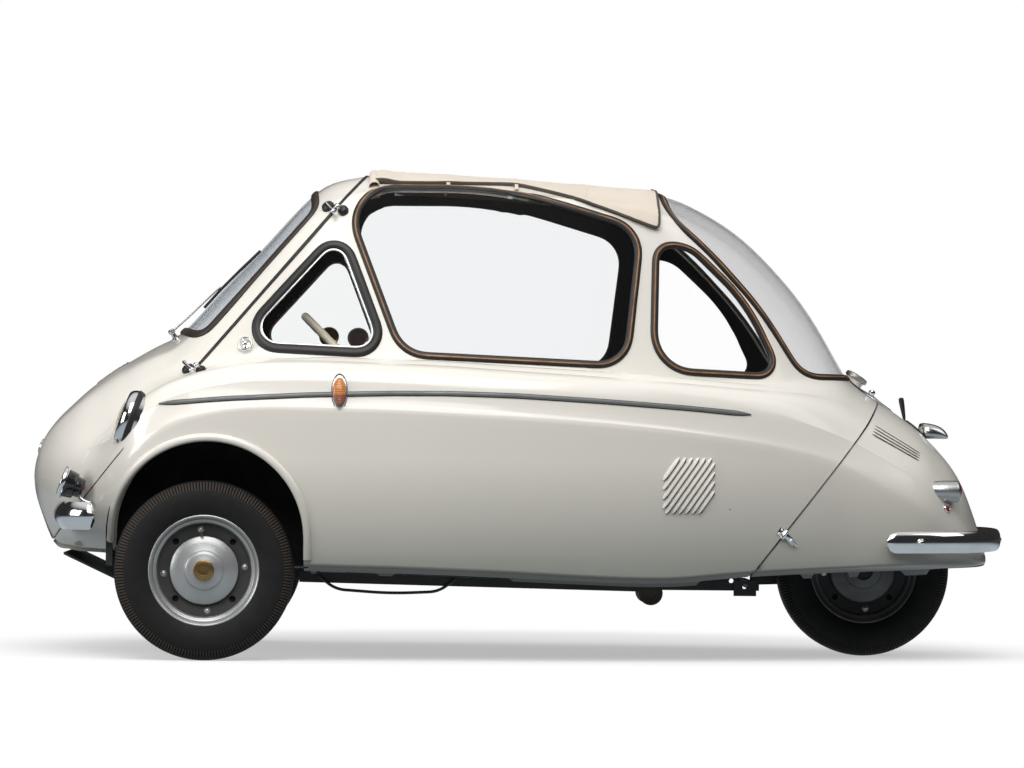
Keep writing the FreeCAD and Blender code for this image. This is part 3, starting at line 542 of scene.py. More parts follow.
def rims(obj):
    """The open edges of a skin as loops of evenly spaced points in metres, longest first."""
    mesh = bmesh.new()
    mesh.from_mesh(obj.data)
    links = {}
    for edge in mesh.edges:
        if len(edge.link_faces) == 1:
            a, b = edge.verts
            links.setdefault(a.index, []).append(b.index)
            links.setdefault(b.index, []).append(a.index)
    places = {v.index: v.co.copy() for v in mesh.verts}
    mesh.free()
    loops, seen = [], set()
    for start in links:
        if start in seen:
            continue
        loop, here, before = [start], start, None
        seen.add(start)
        while True:
            onward = [n for n in links[here] if n != before and n not in seen]
            if not onward:
                break
            before, here = here, onward[0]
            seen.add(here)
            loop.append(here)
        if len(loop) > 8:
            loops.append(even([places[i] for i in loop], RIM_SPACING * MM, closed=True))
    return sorted(loops, key=len, reverse=True)


def even(points, spacing, closed=False):
    """The same path with its points evenly spaced."""
    path = np.array([tuple(p) for p in points] + ([tuple(points[0])] if closed else []))
    steps = np.linalg.norm(np.diff(path, axis=0), axis=1)
    along = np.concatenate([[0], np.cumsum(steps)])
    count = max(8 if closed else 2, int(round(along[-1] / spacing)))
    at = np.linspace(0, along[-1], count, endpoint=not closed)
    out = np.stack([np.interp(at, along, path[:, k]) for k in range(3)], 1)
    for _ in range(2):
        calm = (np.roll(out, 1, 0) + 2 * out + np.roll(out, -1, 0)) / 4
        if not closed:
            calm[0], calm[-1] = out[0], out[-1]
        out = calm
    return [Vector(p) for p in out]


def strip(name, path, profile, closed=True, centre=None, taper=0):
    """A profile of (across, rise) in millimetres swept along a path on the skin.

    Across points away from the centre; taper narrows that many points at each end of an open strip.
    """
    count, points = len(path), []
    middle = Vector(centre) if centre is not None else sum(path, Vector()) / count
    for i, place in enumerate(path):
        _, normal = skin().nearest(place)
        if closed:
            run = path[(i + 1) % count] - path[i - 1]
        else:
            run = path[min(i + 1, count - 1)] - path[max(i - 1, 0)]
        across = run.cross(normal).normalized()
        if across.dot(place - middle) < 0:
            across.negate()
        rise = across.cross(run).normalized()
        if rise.dot(normal) < 0:
            rise.negate()
        end = min(i, count - 1 - i)
        share = 1.0 if closed or not taper else min(1.0, math.sqrt((end + 0.15) / taper))
        points += [place + (across * a * share + rise * r) * MM for a, r in profile]
    faces = grid_faces(count, len(profile), looped=closed)
    if not closed:
        faces += end_faces(count, len(profile))
    return smooth(outwards(from_points(name, points, faces)), 50)


def walled(obj, depth):
    """Gives a skin its thickness inwards and the calm normals of the uncut surface on its outside."""
    outside = len(obj.data.vertices)
    applied(obj, "SOLIDIFY", thickness=depth, offset=-1, material_offset=1, material_offset_rim=2)
    mesh = obj.data
    for vertex in mesh.vertices[outside:]:
        hit, normal = skin().nearest(vertex.co)
        if (vertex.co - hit).dot(normal) > -depth * 0.3:
            vertex.co = hit - normal * depth
    mesh.shade_smooth()
    normals = [(0.0, 0.0, 0.0)] * len(mesh.loops)
    cache = {}
    for face in mesh.polygons:
        if face.material_index != 0:
            continue
        for loop in face.loop_indices:
            vertex = mesh.loops[loop].vertex_index
            if vertex not in cache:
                cache[vertex] = skin().nearest(mesh.vertices[vertex].co)[1][:]
            normals[loop] = cache[vertex]
    for face in mesh.polygons:
        if face.material_index == 2:
            for loop in face.loop_indices:
                normals[loop] = face.normal[:]
    mesh.normals_split_custom_set(normals)
    return obj


def shifted(obj, distance):
    """Moves a skin along its normals, outwards if positive."""
    for vertex in obj.data.vertices:
        vertex.co += skin().nearest(vertex.co)[1] * distance
    return obj


# ---------------------------------------------------------------- materials
def socketed(name, inputs, outputs):
    """An empty shader node group with named sockets: (name, default) inputs and (name, kind) outputs."""
    group = bpy.data.node_groups.new(name, "ShaderNodeTree")
    for label, default in inputs:
        socket = group.interface.new_socket(label, in_out="INPUT", socket_type="NodeSocketFloat")
        socket.default_value = default
    for label, kind in outputs:
        group.interface.new_socket(label, in_out="OUTPUT", socket_type="NodeSocket" + kind)
    return group, group.nodes.new("NodeGroupInput"), group.nodes.new("NodeGroupOutput")


def add(tree, kind, **settings):
    """A node with its settings."""
    node = tree.nodes.new("ShaderNode" + kind)
    for key, value in settings.items():
        setattr(node, key, value)
    return node


def set_inputs(node, **values):
    """Sets a node's inputs by name, with underscores for spaces."""
    for key, value in values.items():
        node.inputs[key.replace("_", " ")].default_value = value
    return node


def math_node(tree, operation, first, second=None, clamp=False):
    """A Math node fed by sockets or numbers; returns its output."""
    node = add(tree, "Math", operation=operation, use_clamp=clamp)
    for socket, value in zip(node.inputs, (first, second)):
        if isinstance(value, (int, float)):
            socket.default_value = value
        elif value is not None:
            tree.links.new(value, socket)
    return node.outputs[0]


def ranged(tree, value, low, high, bottom=0.0, top=1.0, **settings):
    """A socket's value mapped from low and high to bottom and top; returns its output."""
    node = set_inputs(add(tree, "MapRange", **settings), From_Min=low, From_Max=high, To_Min=bottom,
                      To_Max=top)
    tree.links.new(value, node.inputs["Value"])
    return node.outputs["Result"]


def split_place(tree, kind="Object"):
    """The outputs X, Y and Z of the place on the surface."""
    place, split = add(tree, "TexCoord"), add(tree, "SeparateXYZ")
    tree.links.new(place.outputs[kind], split.inputs[0])
    return split.outputs


def blended(tree, factor, first, second):
    """A mix of two shaders; returns its output."""
    blend = add(tree, "MixShader")
    for source, socket in zip((factor, first, second), blend.inputs):
        tree.links.new(source, socket)
    return blend.outputs[0]


def shader_of(material):
    """The material's main shader."""
    return material.node_tree.nodes["Principled BSDF"]


def output_of(material):
    """The socket that takes the material's finished surface."""
    nodes = material.node_tree.nodes
    return next(node for node in nodes if node.type == "OUTPUT_MATERIAL").inputs["Surface"]


def embossed(material, height, strength, distance=0.001):
    """Raises the finish by a height socket."""
    tree = material.node_tree
    lift = set_inputs(add(tree, "Bump"), Strength=strength, Distance=distance)
    tree.links.new(height, lift.inputs["Height"])
    tree.links.new(lift.outputs["Normal"], shader_of(material).inputs["Normal"])


def mottle_group():
    """Slow and fine variation over a surface, shared by every finish."""
    if "Mottle" in bpy.data.node_groups:
        return bpy.data.node_groups["Mottle"]
    group, source, sink = socketed(
        "Mottle", (("Scale", 6.0), ("Fine Scale", 180.0)), (("Patches", "Float"), ("Grain", "Float")))
    place = add(group, "TexCoord")
    for index, label in enumerate(("Scale", "Fine Scale")):
        noise = set_inputs(add(group, "TexNoise"), Detail=4.0)
        group.links.new(place.outputs["Object"], noise.inputs["Vector"])
        group.links.new(source.outputs[label], noise.inputs["Scale"])
        group.links.new(noise.outputs["Fac"], sink.inputs[index])
    return group


def height_dirt_group():
    """A mask of dust and small specks that grows towards the ground."""
    if "Road Dust" in bpy.data.node_groups:
        return bpy.data.node_groups["Road Dust"]
    group, source, sink = socketed("Road Dust", (("Low", 0.2), ("High", 0.42), ("Speck Scale", 260.0)),
                                   (("Dust", "Float"), ("Specks", "Float")))
    place, up = add(group, "TexCoord"), split_place(group)["Z"]
    span = math_node(group, "SUBTRACT", source.outputs["High"], source.outputs["Low"])
    rise = math_node(group, "SUBTRACT", source.outputs["High"], up)
    near = math_node(group, "DIVIDE", rise, span, clamp=True)
    cloud = set_inputs(add(group, "TexNoise"), Scale=9.0, Detail=6.0)
    group.links.new(place.outputs["Object"], cloud.inputs["Vector"])
    dust = math_node(group, "MULTIPLY", near, cloud.outputs["Fac"])
    group.links.new(dust, sink.inputs["Dust"])
    dots = add(group, "TexVoronoi")
    group.links.new(place.outputs["Object"], dots.inputs["Vector"])
    group.links.new(source.outputs["Speck Scale"], dots.inputs["Scale"])
    close = math_node(group, "LESS_THAN", dots.outputs["Distance"], 0.16)
    heavy = math_node(group, "GREATER_THAN", dust, 0.44)
    group.links.new(math_node(group, "MULTIPLY", close, heavy), sink.inputs["Specks"])
    return group


def weave_group():
    """Crossed threads seen on a cloth, from the piece's own coordinates."""
    if "Weave" in bpy.data.node_groups:
        return bpy.data.node_groups["Weave"]
    group, source, sink = socketed("Weave", (("Threads per Metre", 900.0),),
                                   (("Height", "Float"), ("Shade", "Float")))
    turn = math_node(group, "MULTIPLY", source.outputs[0], math.pi)
    place = split_place(group)
    slant = math_node(group, "ADD", place["Y"], math_node(group, "MULTIPLY", place["Z"], 0.9))
    waves = [math_node(group, "SINE", math_node(group, "MULTIPLY", along, turn))
             for along in (place["X"], slant)]
    height = math_node(group, "MULTIPLY", *[math_node(group, "ABSOLUTE", wave) for wave in waves])
    group.links.new(height, sink.inputs["Height"])
    group.links.new(math_node(group, "POWER", height, 0.5), sink.inputs["Shade"])
    return group


def tinted(color, factor):
    """A colour made lighter or darker."""
    return tuple(min(1.0, c * factor) for c in color[:3]) + (1.0,)


def finish(name, color, roughness, metallic=0.0, patches=0.06, scale=6.0, fine=220.0, bump=0.0,
           rough_spread=0.1, other=None, **sockets):
    """A procedural finish: its colour and gloss drift over the surface and a fine grain lifts it.

    other is the colour it drifts to; by default a darker tint.
    """
    material = bpy.data.materials.get(name)
    if material:
        return material
    material = bpy.data.materials.new(name)
    material.use_nodes = True
    tree = material.node_tree
    shader = set_inputs(shader_of(material), Metallic=metallic, **sockets)
    mottle = set_inputs(add(tree, "Group", node_tree=mottle_group()), Scale=scale, Fine_Scale=fine)
    drift, grain = mottle.outputs["Patches"], mottle.outputs["Grain"]
    mix = set_inputs(add(tree, "Mix", data_type="RGBA"), A=tinted(color, 1.0),
                     B=(*other, 1.0) if other else tinted(color, 1 - 2 * patches))
    tree.links.new(ranged(tree, drift, 0.3, 0.7), mix.inputs["Factor"])
    tree.links.new(mix.outputs["Result"], shader.inputs["Base Color"])
    tree.links.new(ranged(tree, drift, 0.3, 0.7, max(0.02, roughness * (1 - rough_spread)),
                          min(1.0, roughness * (1 + rough_spread))), shader.inputs["Roughness"])
    if bump:
        embossed(material, grain, min(1.0, bump), 0.0006)
    return material


def layered(material, mask, color, amount=1.0):
    """Lays another colour over the finish where a mask socket is white."""
    tree = material.node_tree
    target = shader_of(material).inputs["Base Color"]
    before = target.links[0].from_socket
    mix = set_inputs(add(tree, "Mix", data_type="RGBA"), B=(*color, 1.0))
    tree.links.new(before, mix.inputs["A"])
    tree.links.new(math_node(tree, "MULTIPLY", mask, amount, clamp=True), mix.inputs["Factor"])
    tree.links.new(mix.outputs["Result"], target)
    return material


def body_paint():
    """Cream enamel, glossy and a little dusty along the sills, darkened towards the bottom by road film and
    painted shade.
    """
    if "Cream Enamel" in bpy.data.materials:
        return bpy.data.materials["Cream Enamel"]
    base = tuple(bpy.context.scene.car_finishes.paint)
    material = finish("Cream Enamel", base, 0.34, patches=0.012, scale=2.2, fine=900.0, bump=0.05,
                      Coat_Weight=0.75, Coat_Roughness=0.06)
    tree = material.node_tree
    dirt = set_inputs(add(tree, "Group", node_tree=height_dirt_group()), Low=0.19, High=0.34,
                      Speck_Scale=330.0)
    layered(material, dirt.outputs["Dust"], (0.40, 0.36, 0.29), 0.22)
    layered(material, dirt.outputs["Specks"], (0.28, 0.15, 0.07), 0.5)
    # painted shade with some road film: the enamel darkens from the waist down to the sills
    road_film_and_painted_shade = ranged(tree, split_place(tree)["Z"], 0.52, 0.26)
    layered(material, road_film_and_painted_shade, (0.16, 0.18, 0.155), 0.7)
    return material


def dulled_strip():
    """The waist strip, gone grey and matt with age."""
    return finish("Dulled Strip", (0.165, 0.175, 0.170), 0.42, metallic=0.25, patches=0.12, scale=18.0,
                  fine=400.0, bump=0.08, rough_spread=0.3)


def shaded_lining():
    """The satin paint inside the cabin: the body's cream darkened as painted shade."""
    return finish("Inner Enamel", (0.50, 0.49, 0.46), 0.55, patches=0.05, scale=3.0, bump=0.1)


def shaded_edge_paint():
    """The folded panel edges: the body's cream darkened as painted shade."""
    return finish("Edge Enamel", (0.60, 0.575, 0.53), 0.45, patches=0.08, scale=9.0, bump=0.1)


def pane(name, color, roughness=0.02, mirror_share=1.0):
    """Clear glass or acrylic: it mirrors at a slant and lets the rest of the light through with a tint."""
    material = bpy.data.materials.get(name)
    if material:
        return material
    material = finish(name, tinted(color, 0.35)[:3], roughness, patches=0.05, scale=1.4, rough_spread=0.6)
    tree = material.node_tree
    through = set_inputs(add(tree, "BsdfTransparent"), Color=(*color, 1.0))
    mirror, side = set_inputs(add(tree, "Fresnel"), IOR=1.4), add(tree, "NewGeometry")
    front = math_node(tree, "SUBTRACT", 1.0, side.outputs["Backfacing"])
    share = math_node(tree, "MULTIPLY", front, mirror_share)
    amount = math_node(tree, "MULTIPLY", mirror.outputs[0], share, clamp=True)
    glass = blended(tree, amount, through.outputs[0], shader_of(material).outputs[0])
    tree.links.new(glass, output_of(material))
    return material


def chrome():
    """Polished plate with a faint haze and small pits."""
    return finish("Polished Plate", (0.80, 0.80, 0.81), 0.09, metallic=1.0, patches=0.05, scale=14.0,
                  fine=700.0, bump=0.03, rough_spread=0.5)


def dull_metal():
    """Weathered bright metal."""
    return finish("Weathered Metal", (0.56, 0.55, 0.52), 0.36, metallic=1.0, patches=0.12, scale=20.0,
                  fine=500.0, bump=0.25, rough_spread=0.3)


def black_enamel_and_painted_shade():
    """Satin black paint of the running gear; on the wheel discs it stands as painted shade."""
    material = finish("Chassis Black", (0.022, 0.022, 0.024), 0.5, patches=0.2, scale=12.0, fine=260.0,
                      bump=0.5, rough_spread=0.25)
    if "dusted" not in material:
        dirt = set_inputs(add(material.node_tree, "Group", node_tree=height_dirt_group()), High=0.5)
        layered(material, dirt.outputs["Dust"], (0.09, 0.08, 0.07), 0.5)
        material["dusted"] = True
    return material


def dark_rubber_and_painted_shade():
    """The black rubber of seals and gaskets, also laid as painted shade in the louvre gaps, tail slots and
    wing shut lines.
    """
    return finish("Seal Rubber", (0.016, 0.015, 0.015), 0.42, patches=0.12, scale=18.0, fine=420.0, bump=0.25,
                  Specular_IOR_Level=0.45)


def brown_rubber():
    """The brownish rubber round the windscreen."""
    return finish("Windscreen Rubber", (0.035, 0.024, 0.018), 0.45, patches=0.15, scale=14.0, fine=420.0,
                  bump=0.25)


def bead_finish():
    """The thin gold-brown bead set in the window rubbers."""
    return finish("Seal Bead", tuple(bpy.context.scene.car_finishes.bead), 0.42, patches=0.2, scale=25.0,
                  fine=600.0, bump=0.2, other=(0.12, 0.05, 0.02))


def dark_well():
    """Underseal in the wheel housings."""
    return finish("Underseal", (0.016, 0.015, 0.015), 0.85, patches=0.25, scale=16.0, fine=140.0, bump=1.0)


def brass():
    """A plain brass cap."""
    return finish("Brass", (0.36, 0.23, 0.10), 0.32, metallic=1.0, patches=0.15, scale=40.0, fine=600.0,
                  bump=0.2)


def wheel_enamel():
    """Silver wheel enamel."""
    return finish("Wheel Silver", (0.40, 0.41, 0.41), 0.34, metallic=0.55, patches=0.08, scale=16.0,
                  fine=900.0, bump=0.08, Coat_Weight=0.25)


def tyre_rubber():
    """Tyre rubber: matt, with fine ribs that fan out over the shoulders; the raised ribs are a lighter brown
    and the slots between them are darkened as painted shade.
    """
    if "Tyre Rubber" in bpy.data.materials:
        return bpy.data.materials["Tyre Rubber"]
    material = finish("Tyre Rubber", (0.0095, 0.009, 0.0088), 0.66, patches=0.12, scale=30.0, fine=380.0,
                      bump=0.35, Specular_IOR_Level=0.25)
    # lighter brown on the raised ribs, and painted shade in the sunken slots between them
    for name, color in (("rib", (0.045, 0.036, 0.029)), ("slot", (0.004, 0.004, 0.004))):
        band = add(material.node_tree, "Attribute", attribute_name=name)
        layered(material, band.outputs["Fac"], color)
    return material


def roof_cloth():
    """Coated canvas with a fine weave."""
    if "Roof Cloth" in bpy.data.materials:
        return bpy.data.materials["Roof Cloth"]
    color = tuple(bpy.context.scene.car_finishes.roof)
    material = finish("Roof Cloth", color, 0.86, patches=0.05, scale=7.0, fine=300.0, Sheen_Weight=0.25,
                      Sheen_Roughness=0.5)
    tree = material.node_tree
    weave = add(tree, "Group", node_tree=weave_group())
    weave.inputs[0].default_value = 620.0
    embossed(material, weave.outputs["Height"], 0.55, 0.0007)
    shade = math_node(tree, "SUBTRACT", 1.0, weave.outputs["Shade"])
    layered(material, shade, tinted(color, 0.72)[:3], 0.5)
    return material


def seat_cloth():
    """Woven seat cover."""
    if "Seat Cloth" in bpy.data.materials:
        return bpy.data.materials["Seat Cloth"]
    color = tuple(bpy.context.scene.car_finishes.seats)
    material = finish("Seat Cloth", color, 0.9, patches=0.1, scale=9.0, fine=260.0, Sheen_Weight=0.4)
    tree = material.node_tree
    weave = add(tree, "Group", node_tree=weave_group())
    weave.inputs[0].default_value = 420.0
    embossed(material, weave.outputs["Height"], 0.6)
    return material


def satin_bright():
    """Brushed bright metal."""
    return finish("Satin Bright", (0.55, 0.56, 0.55), 0.26, metallic=1.0, patches=0.08, scale=18.0,
                  fine=500.0, bump=0.12, rough_spread=0.35)


# ---------------------------------------------------------------- body panels, glass, seals and roof
WORK = {}


def sizes():
    """The sizes that a user may change."""
    return bpy.context.scene.car_sizes


def surface_copy(name):
    """A copy of the uncut body surface; the surface and its skin are made once."""
    if "surface" not in WORK:
        WORK["surface"] = body_surface()
        WORK["skin"] = Skin(WORK["surface"])
    return copy_of(WORK["surface"], name)


def skin():
    """The body surface as something to lay trim on."""
    if "skin" not in WORK:
        removed(surface_copy("first"))
    return WORK["skin"]


def door_limits(gap):
    """The door's outline seen from the front, half a gap larger."""
    half = [(y + (gap / 2 if y < 900 else 0), z - (gap / 2 if z == 750 else 0)) for y, z in DOOR_EDGE]
    return tuple((y, z, 0) for y, z in half + [(-y, z) for y, z in reversed(half)])


def door_part(piece, gap):
    """Keeps the part of a closed mesh that belongs to the door."""
    carve(piece, prism("door limits", door_limits(gap), 0, 2000, view="front"), "INTERSECT")
    return carve(piece, behind_plane("door plane", DOOR_PLANE, 1, -gap), "INTERSECT")


def window_prism(name, outline, side):
    """The cutter of a side window on one side of the car."""
    low, high = (200, FAR) if side == LEFT else (-FAR, -200)
    return prism(name, outline, low, high)


def panel(piece, name, body, replaced):
    """Turns a trimmed skin into a finished painted panel."""
    walled(piece, sizes().panel_depth)
    # the inside and the folded edges take the body's cream darkened as painted shade
    for material in (body_paint(), shaded_lining(), shaded_edge_paint()):
        piece.data.materials.append(material)
    piece.name = piece.data.name = name
    return finished(piece, body_paint(), body, replaced)


class CAR_OT_panels(bpy.types.Operator):
    """Body shell, front door and tail cover as thin panels with folded edges"""

    bl_idname = "bubble_car.panels"
    bl_label = "Body Panels"

    def execute(self, context):
        gap = sizes().panel_gap / MM
        door = skin_only(carve(door_part(surface_copy("door"), -gap),
                               prism("windscreen", WINDSCREEN, -FAR, FAR)))
        WORK["door rims"] = rims(skin_only(door_part(surface_copy("door outline"), -gap)))
        removed(bpy.data.objects["door outline"])
        panel(door, "door_panel", "front_door", ("front_door",))

        cover = carve(surface_copy("cover"), behind_plane("tail plane", TAIL_PLANE, -1, gap), "INTERSECT")
        carve(cover, self.underside())
        WORK["cover rims"] = rims(skin_only(copy_of(cover, "cover outline")))
        removed(bpy.data.objects["cover outline"])
        panel(skin_only(cover), "tail_cover_panel", "engine_cover", ("engine_cover",))

        shell = carve(surface_copy("shell"), behind_plane("tail plane", TAIL_PLANE, 1, gap), "INTERSECT")
        for outline, name in ((FRONT_QUARTER, "front quarter"), (SIDE_WINDOW, "side"),
                              (REAR_QUARTER, "rear quarter")):
            for side in (LEFT, RIGHT):
                carve(shell, window_prism(name, outline, side))
        carve(shell, prism("rear window", REAR_WINDOW, -FAR, FAR))
        carve(shell, prism("roof opening", ROOF_OPENING, -330, 330))
        for side in (LEFT, RIGHT):
            low, high = (436, FAR) if side == LEFT else (-FAR, -436)
            carve(shell, prism("arch", ARCH, low, high, steps=28))
            drum = lathe("lamp opening", ((0.01, -60), (74, -60), (74, 200), (0.01, 200)),
                         (HEADLAMP_CENTRE[0], side * HEADLAMP_CENTRE[1], HEADLAMP_CENTRE[2]), LAMP_AXIS, 48)
            drum.data.materials.append(cutting_material())
            carve(shell, drum)
        carve(shell, self.underside())
        door_wide = prism("door limits", door_limits(gap), 0, 2000, view="front")
        carve(door_wide, behind_plane("door plane", DOOR_PLANE, 1, -gap), "INTERSECT")
        carve(shell, door_wide)
        panel(skin_only(shell), "body_panels", "body", ("body_shell", "front_wings"))
        return {"FINISHED"}

    @staticmethod
    def underside():
        """The opening under the engine and the rear wheel."""
        half = [(x, y, 0) for x, y in UNDERSIDE_OPENING]
        return prism("underside", tuple(half + [(x, -y, 0) for x, y, _ in reversed(half)]), -50, 320,
                     view="plan")


HEADLAMP_CENTRE = (1022, 566, 621)
LAMP_TILT = math.radians(19)
LAMP_AXIS = (math.cos(LAMP_TILT), 0, math.sin(LAMP_TILT))
# columns: piece name | outline | body | frame node | tint
PANES = (
    ("windscreen_pane", WINDSCREEN, "front_door", "windscreen", (0.93, 0.95, 0.965)),
    ("rear_bubble", REAR_WINDOW, "body", "rear_window", (0.913, 0.913, 0.916)),
    ("front_quarter_panes", FRONT_QUARTER, "body", "front_quarter_windows", (0.975, 0.98, 0.98)),
    ("side_panes", SIDE_WINDOW, "body", "side_windows", (0.975, 0.978, 0.98)),
    ("rear_quarter_panes", REAR_QUARTER, "body", "rear_quarter_windows", (1.0, 1.0, 1.0)),
)
SEAL_SECTION = ((-6, -3), (-6.5, 1.5), (-4, 4), (2, 5.5), (8, 5.5), (12.5, 3.6), (14, 0.5), (13.5, -3))
BEAD_SECTION = ((2.2, 4.6), (2.8, 6.3), (4.4, 6.9), (6.0, 6.3), (6.6, 4.6), (4.4, 3.5))
BROAD_SECTION = ((-9, -3), (-9.5, 2), (-6, 5), (1, 6.5), (9, 6), (14, 3), (15, 0), (14, -3))
INNER_STRIP = ((-15, -1), (-15, 2.5), (-12, 4), (-9, 3), (-8.5, -1))


class CAR_OT_glass(bpy.types.Operator):
    """Windscreen, side panes and the rear bubble, each with its rubber seal"""

    bl_idname = "bubble_car.glass"
    bl_label = "Glass and Seals"

    def execute(self, context):
        for name, outline, body, node, tint in PANES:
            if name in ("windscreen_pane", "rear_bubble"):
                piece = carve(surface_copy(name), prism(name + " cut", outline, -FAR, FAR), "INTERSECT")
                if body == "front_door":
                    door_part(piece, -sizes().panel_gap / MM)
                pieces = [skin_only(piece)]
            else:
                pieces = [skin_only(carve(surface_copy(name), window_prism(name + " cut", outline, side),
                                          "INTERSECT")) for side in (LEFT, RIGHT)]
            self.seals(name, pieces, body)
            for piece in pieces:
                shifted(piece, -0.001)
                walled(piece, sizes().glass_depth)
                for face in piece.data.polygons:
                    face.material_index = 0
            whole = joined(name, pieces)
            title = name.replace("_", " ").title()
            finished(whole, pane(title, tint, mirror_share=0.45 if "quarter" in name else 0.75), body,
                     (node,))
        return {"FINISHED"}

    @staticmethod
    def seals(name, pieces, body):
        """Lays the rubber, and the bead or strip in it, round each pane."""
        rubbers, beads = [], []
        for number, piece in enumerate(pieces):
            path = rims(piece)[0]
            kind = BROAD_SECTION if name in ("windscreen_pane", "front_quarter_panes") else SEAL_SECTION
            rubbers.append(strip(f"{name}_rubber_{number}", path, kind))
            if kind is SEAL_SECTION:
                beads.append(strip(f"{name}_bead_{number}", path, BEAD_SECTION))
            elif name == "front_quarter_panes":
                beads.append(strip(f"{name}_strip_{number}", path, INNER_STRIP))
        stem = name.replace("_panes", "").replace("_pane", "")
        rubber = brown_rubber() if name == "windscreen_pane" else dark_rubber_and_painted_shade()
        finished(joined(stem + "_rubber", rubbers), rubber, body)
        if beads:
            metal = name == "front_quarter_panes"
            finished(joined(stem + ("_bright_strip" if metal else "_bead"), beads),
                     satin_bright() if metal else bead_finish(), body)


ROOF_BOWS = (200, 20, -160)


class CAR_OT_roof(bpy.types.Operator):
    """The folding roof: a stretched cloth with a raised front hem, dark piping and seams over its bows"""

    bl_idname = "bubble_car.roof"
    bl_label = "Cloth Roof"

    def execute(self, context):
        cloth = skin_only(carve(surface_copy("roof_cloth"), prism("roof cut", ROOF_EDGE, -FAR, FAR),
                                "INTERSECT"))
        edge = rims(cloth)[0]
        for vertex in cloth.data.vertices:
            _, normal = skin().nearest(vertex.co)
            vertex.co += normal * self.rise(vertex.co)
        applied(cloth, "SOLIDIFY", thickness=sizes().roof_depth, offset=1)
        smooth(cloth, 60)
        finished(cloth, roof_cloth(), "body", ("roof_fabric",))
        raised = [p + skin().nearest(p)[1] * self.rise(p) for p in edge]
        piping = strip("roof_piping", raised, ((-3, 1.5), (-3, 6), (0, 8), (3.5, 6.5), (4, 1),
                                                       (2, -5), (-2, -5)))
        finished(piping, finish("Roof Piping", (0.09, 0.075, 0.06), 0.8, patches=0.2, bump=0.5), "body")
        front = [self.across(392, step) for step in np.linspace(-1, 1, 41)]
        hem = strip("roof_front_hem_0", front,
                    ((-16, 0), (-15, 9), (-8, 15), (2, 16), (9, 11), (12, 0)),
                    closed=False, centre=(2, 0, 1.2), taper=5)
        finished(hem, roof_cloth(), "body")
        seams = []
        for x in ROOF_BOWS:
            line = [self.across(x, step) for step in np.linspace(-0.97, 0.97, 37)]
            lifted = [p + skin().nearest(p)[1] * (self.rise(p) + 0.005) for p in line]
            seams.append(strip("seam", lifted, ((-5, -0.6), (-4, 0.8), (4, 0.8), (5, -0.6)),
                               closed=False))
        finished(joined("roof_seams", seams), roof_cloth(), "body")
        return {"FINISHED"}

    @staticmethod
    def rise(place):
        """How far the cloth stands off the body: more at its front hem, over the bows and at the back."""
        x = place[0] / MM
        hem = 9.0 * math.exp(-((x - 374) / 30) ** 2)
        back = 5.0 * math.exp(-((x + 352) / 60) ** 2)
        bows = sum(1.2 * math.exp(-((x - bow) / 28) ** 2) for bow in ROOF_BOWS)
        return (1.5 + hem + back + bows) * MM

    @staticmethod
    def across(x, share):
        """A point of the roof line across the car at x; share runs from -1 on the right to 1 on the left."""
        low = np.interp(x, (-352, -223, -92, 20, 396), (1130, 1180, 1221, 1247, 1246)) * MM
        half_width, top_share, side = 0.43, 0.72, math.copysign(1, share)
        if abs(share) < top_share:
            return skin().cast((x * MM, math.sin(share * math.pi / 2) * half_width, 2), (0, 0, -1))[0]
        drop = (abs(share) - top_share) / 0.28
        aim = Vector((0, side, 0.0)).lerp(Vector((0, side, 0.9)), 1 - drop).normalized()
        centre = Vector((x * MM, 0, low))
        hit, _ = skin().cast(centre + aim * 2, -aim)
        return hit


# ---------------------------------------------------------------- trim on the body
def along_side(route, spacing):
    """Evenly spaced points on the car's left along a route of x, z in millimetres."""
    path = even([(x, 0, z) for x, z in route], spacing)
    return [skin().on_side(p.x, p.z)[0] for p in path]


def side_strips(name, routes, profile, centre, look, body, taper=2, spacing=12.0):
    """Strips along routes on the car's left and their mirror images, as one finished piece."""
    pieces = [strip(name, along_side(route, spacing), profile, closed=False,
                    centre=(centre[0] * MM, 0.6, centre[1] * MM), taper=taper) for route in routes]
    return finished(mirrored(joined(name, pieces)), look, body)


# the left wheel arch: centre, radius and the heights of its front and rear foot
ARCH_X, ARCH_Z, ARCH_RADIUS = 815, 317, 249
FRONT_FOOT, REAR_FOOT, LINER_FOOT = 302, 262, 240


def arch_route(low=REAR_FOOT):
    """The edge of the left wheel arch from its front foot over the top to its rear foot: x, z."""
    arc = [(ARCH_X + ARCH_RADIUS * math.cos(t), ARCH_Z + ARCH_RADIUS * math.sin(t))
           for t in np.linspace(0, math.pi, 33)]
    return [(ARCH_X + ARCH_RADIUS, FRONT_FOOT)] + arc + [(ARCH_X - ARCH_RADIUS, low)]


# the bright strip along the waist: x, z
WAIST_ROUTE = ((942, 660), (780, 674), (560, 686), (345, 692), (195, 693), (20, 689), (-200, 677),
               (-420, 662), (-591, 647))


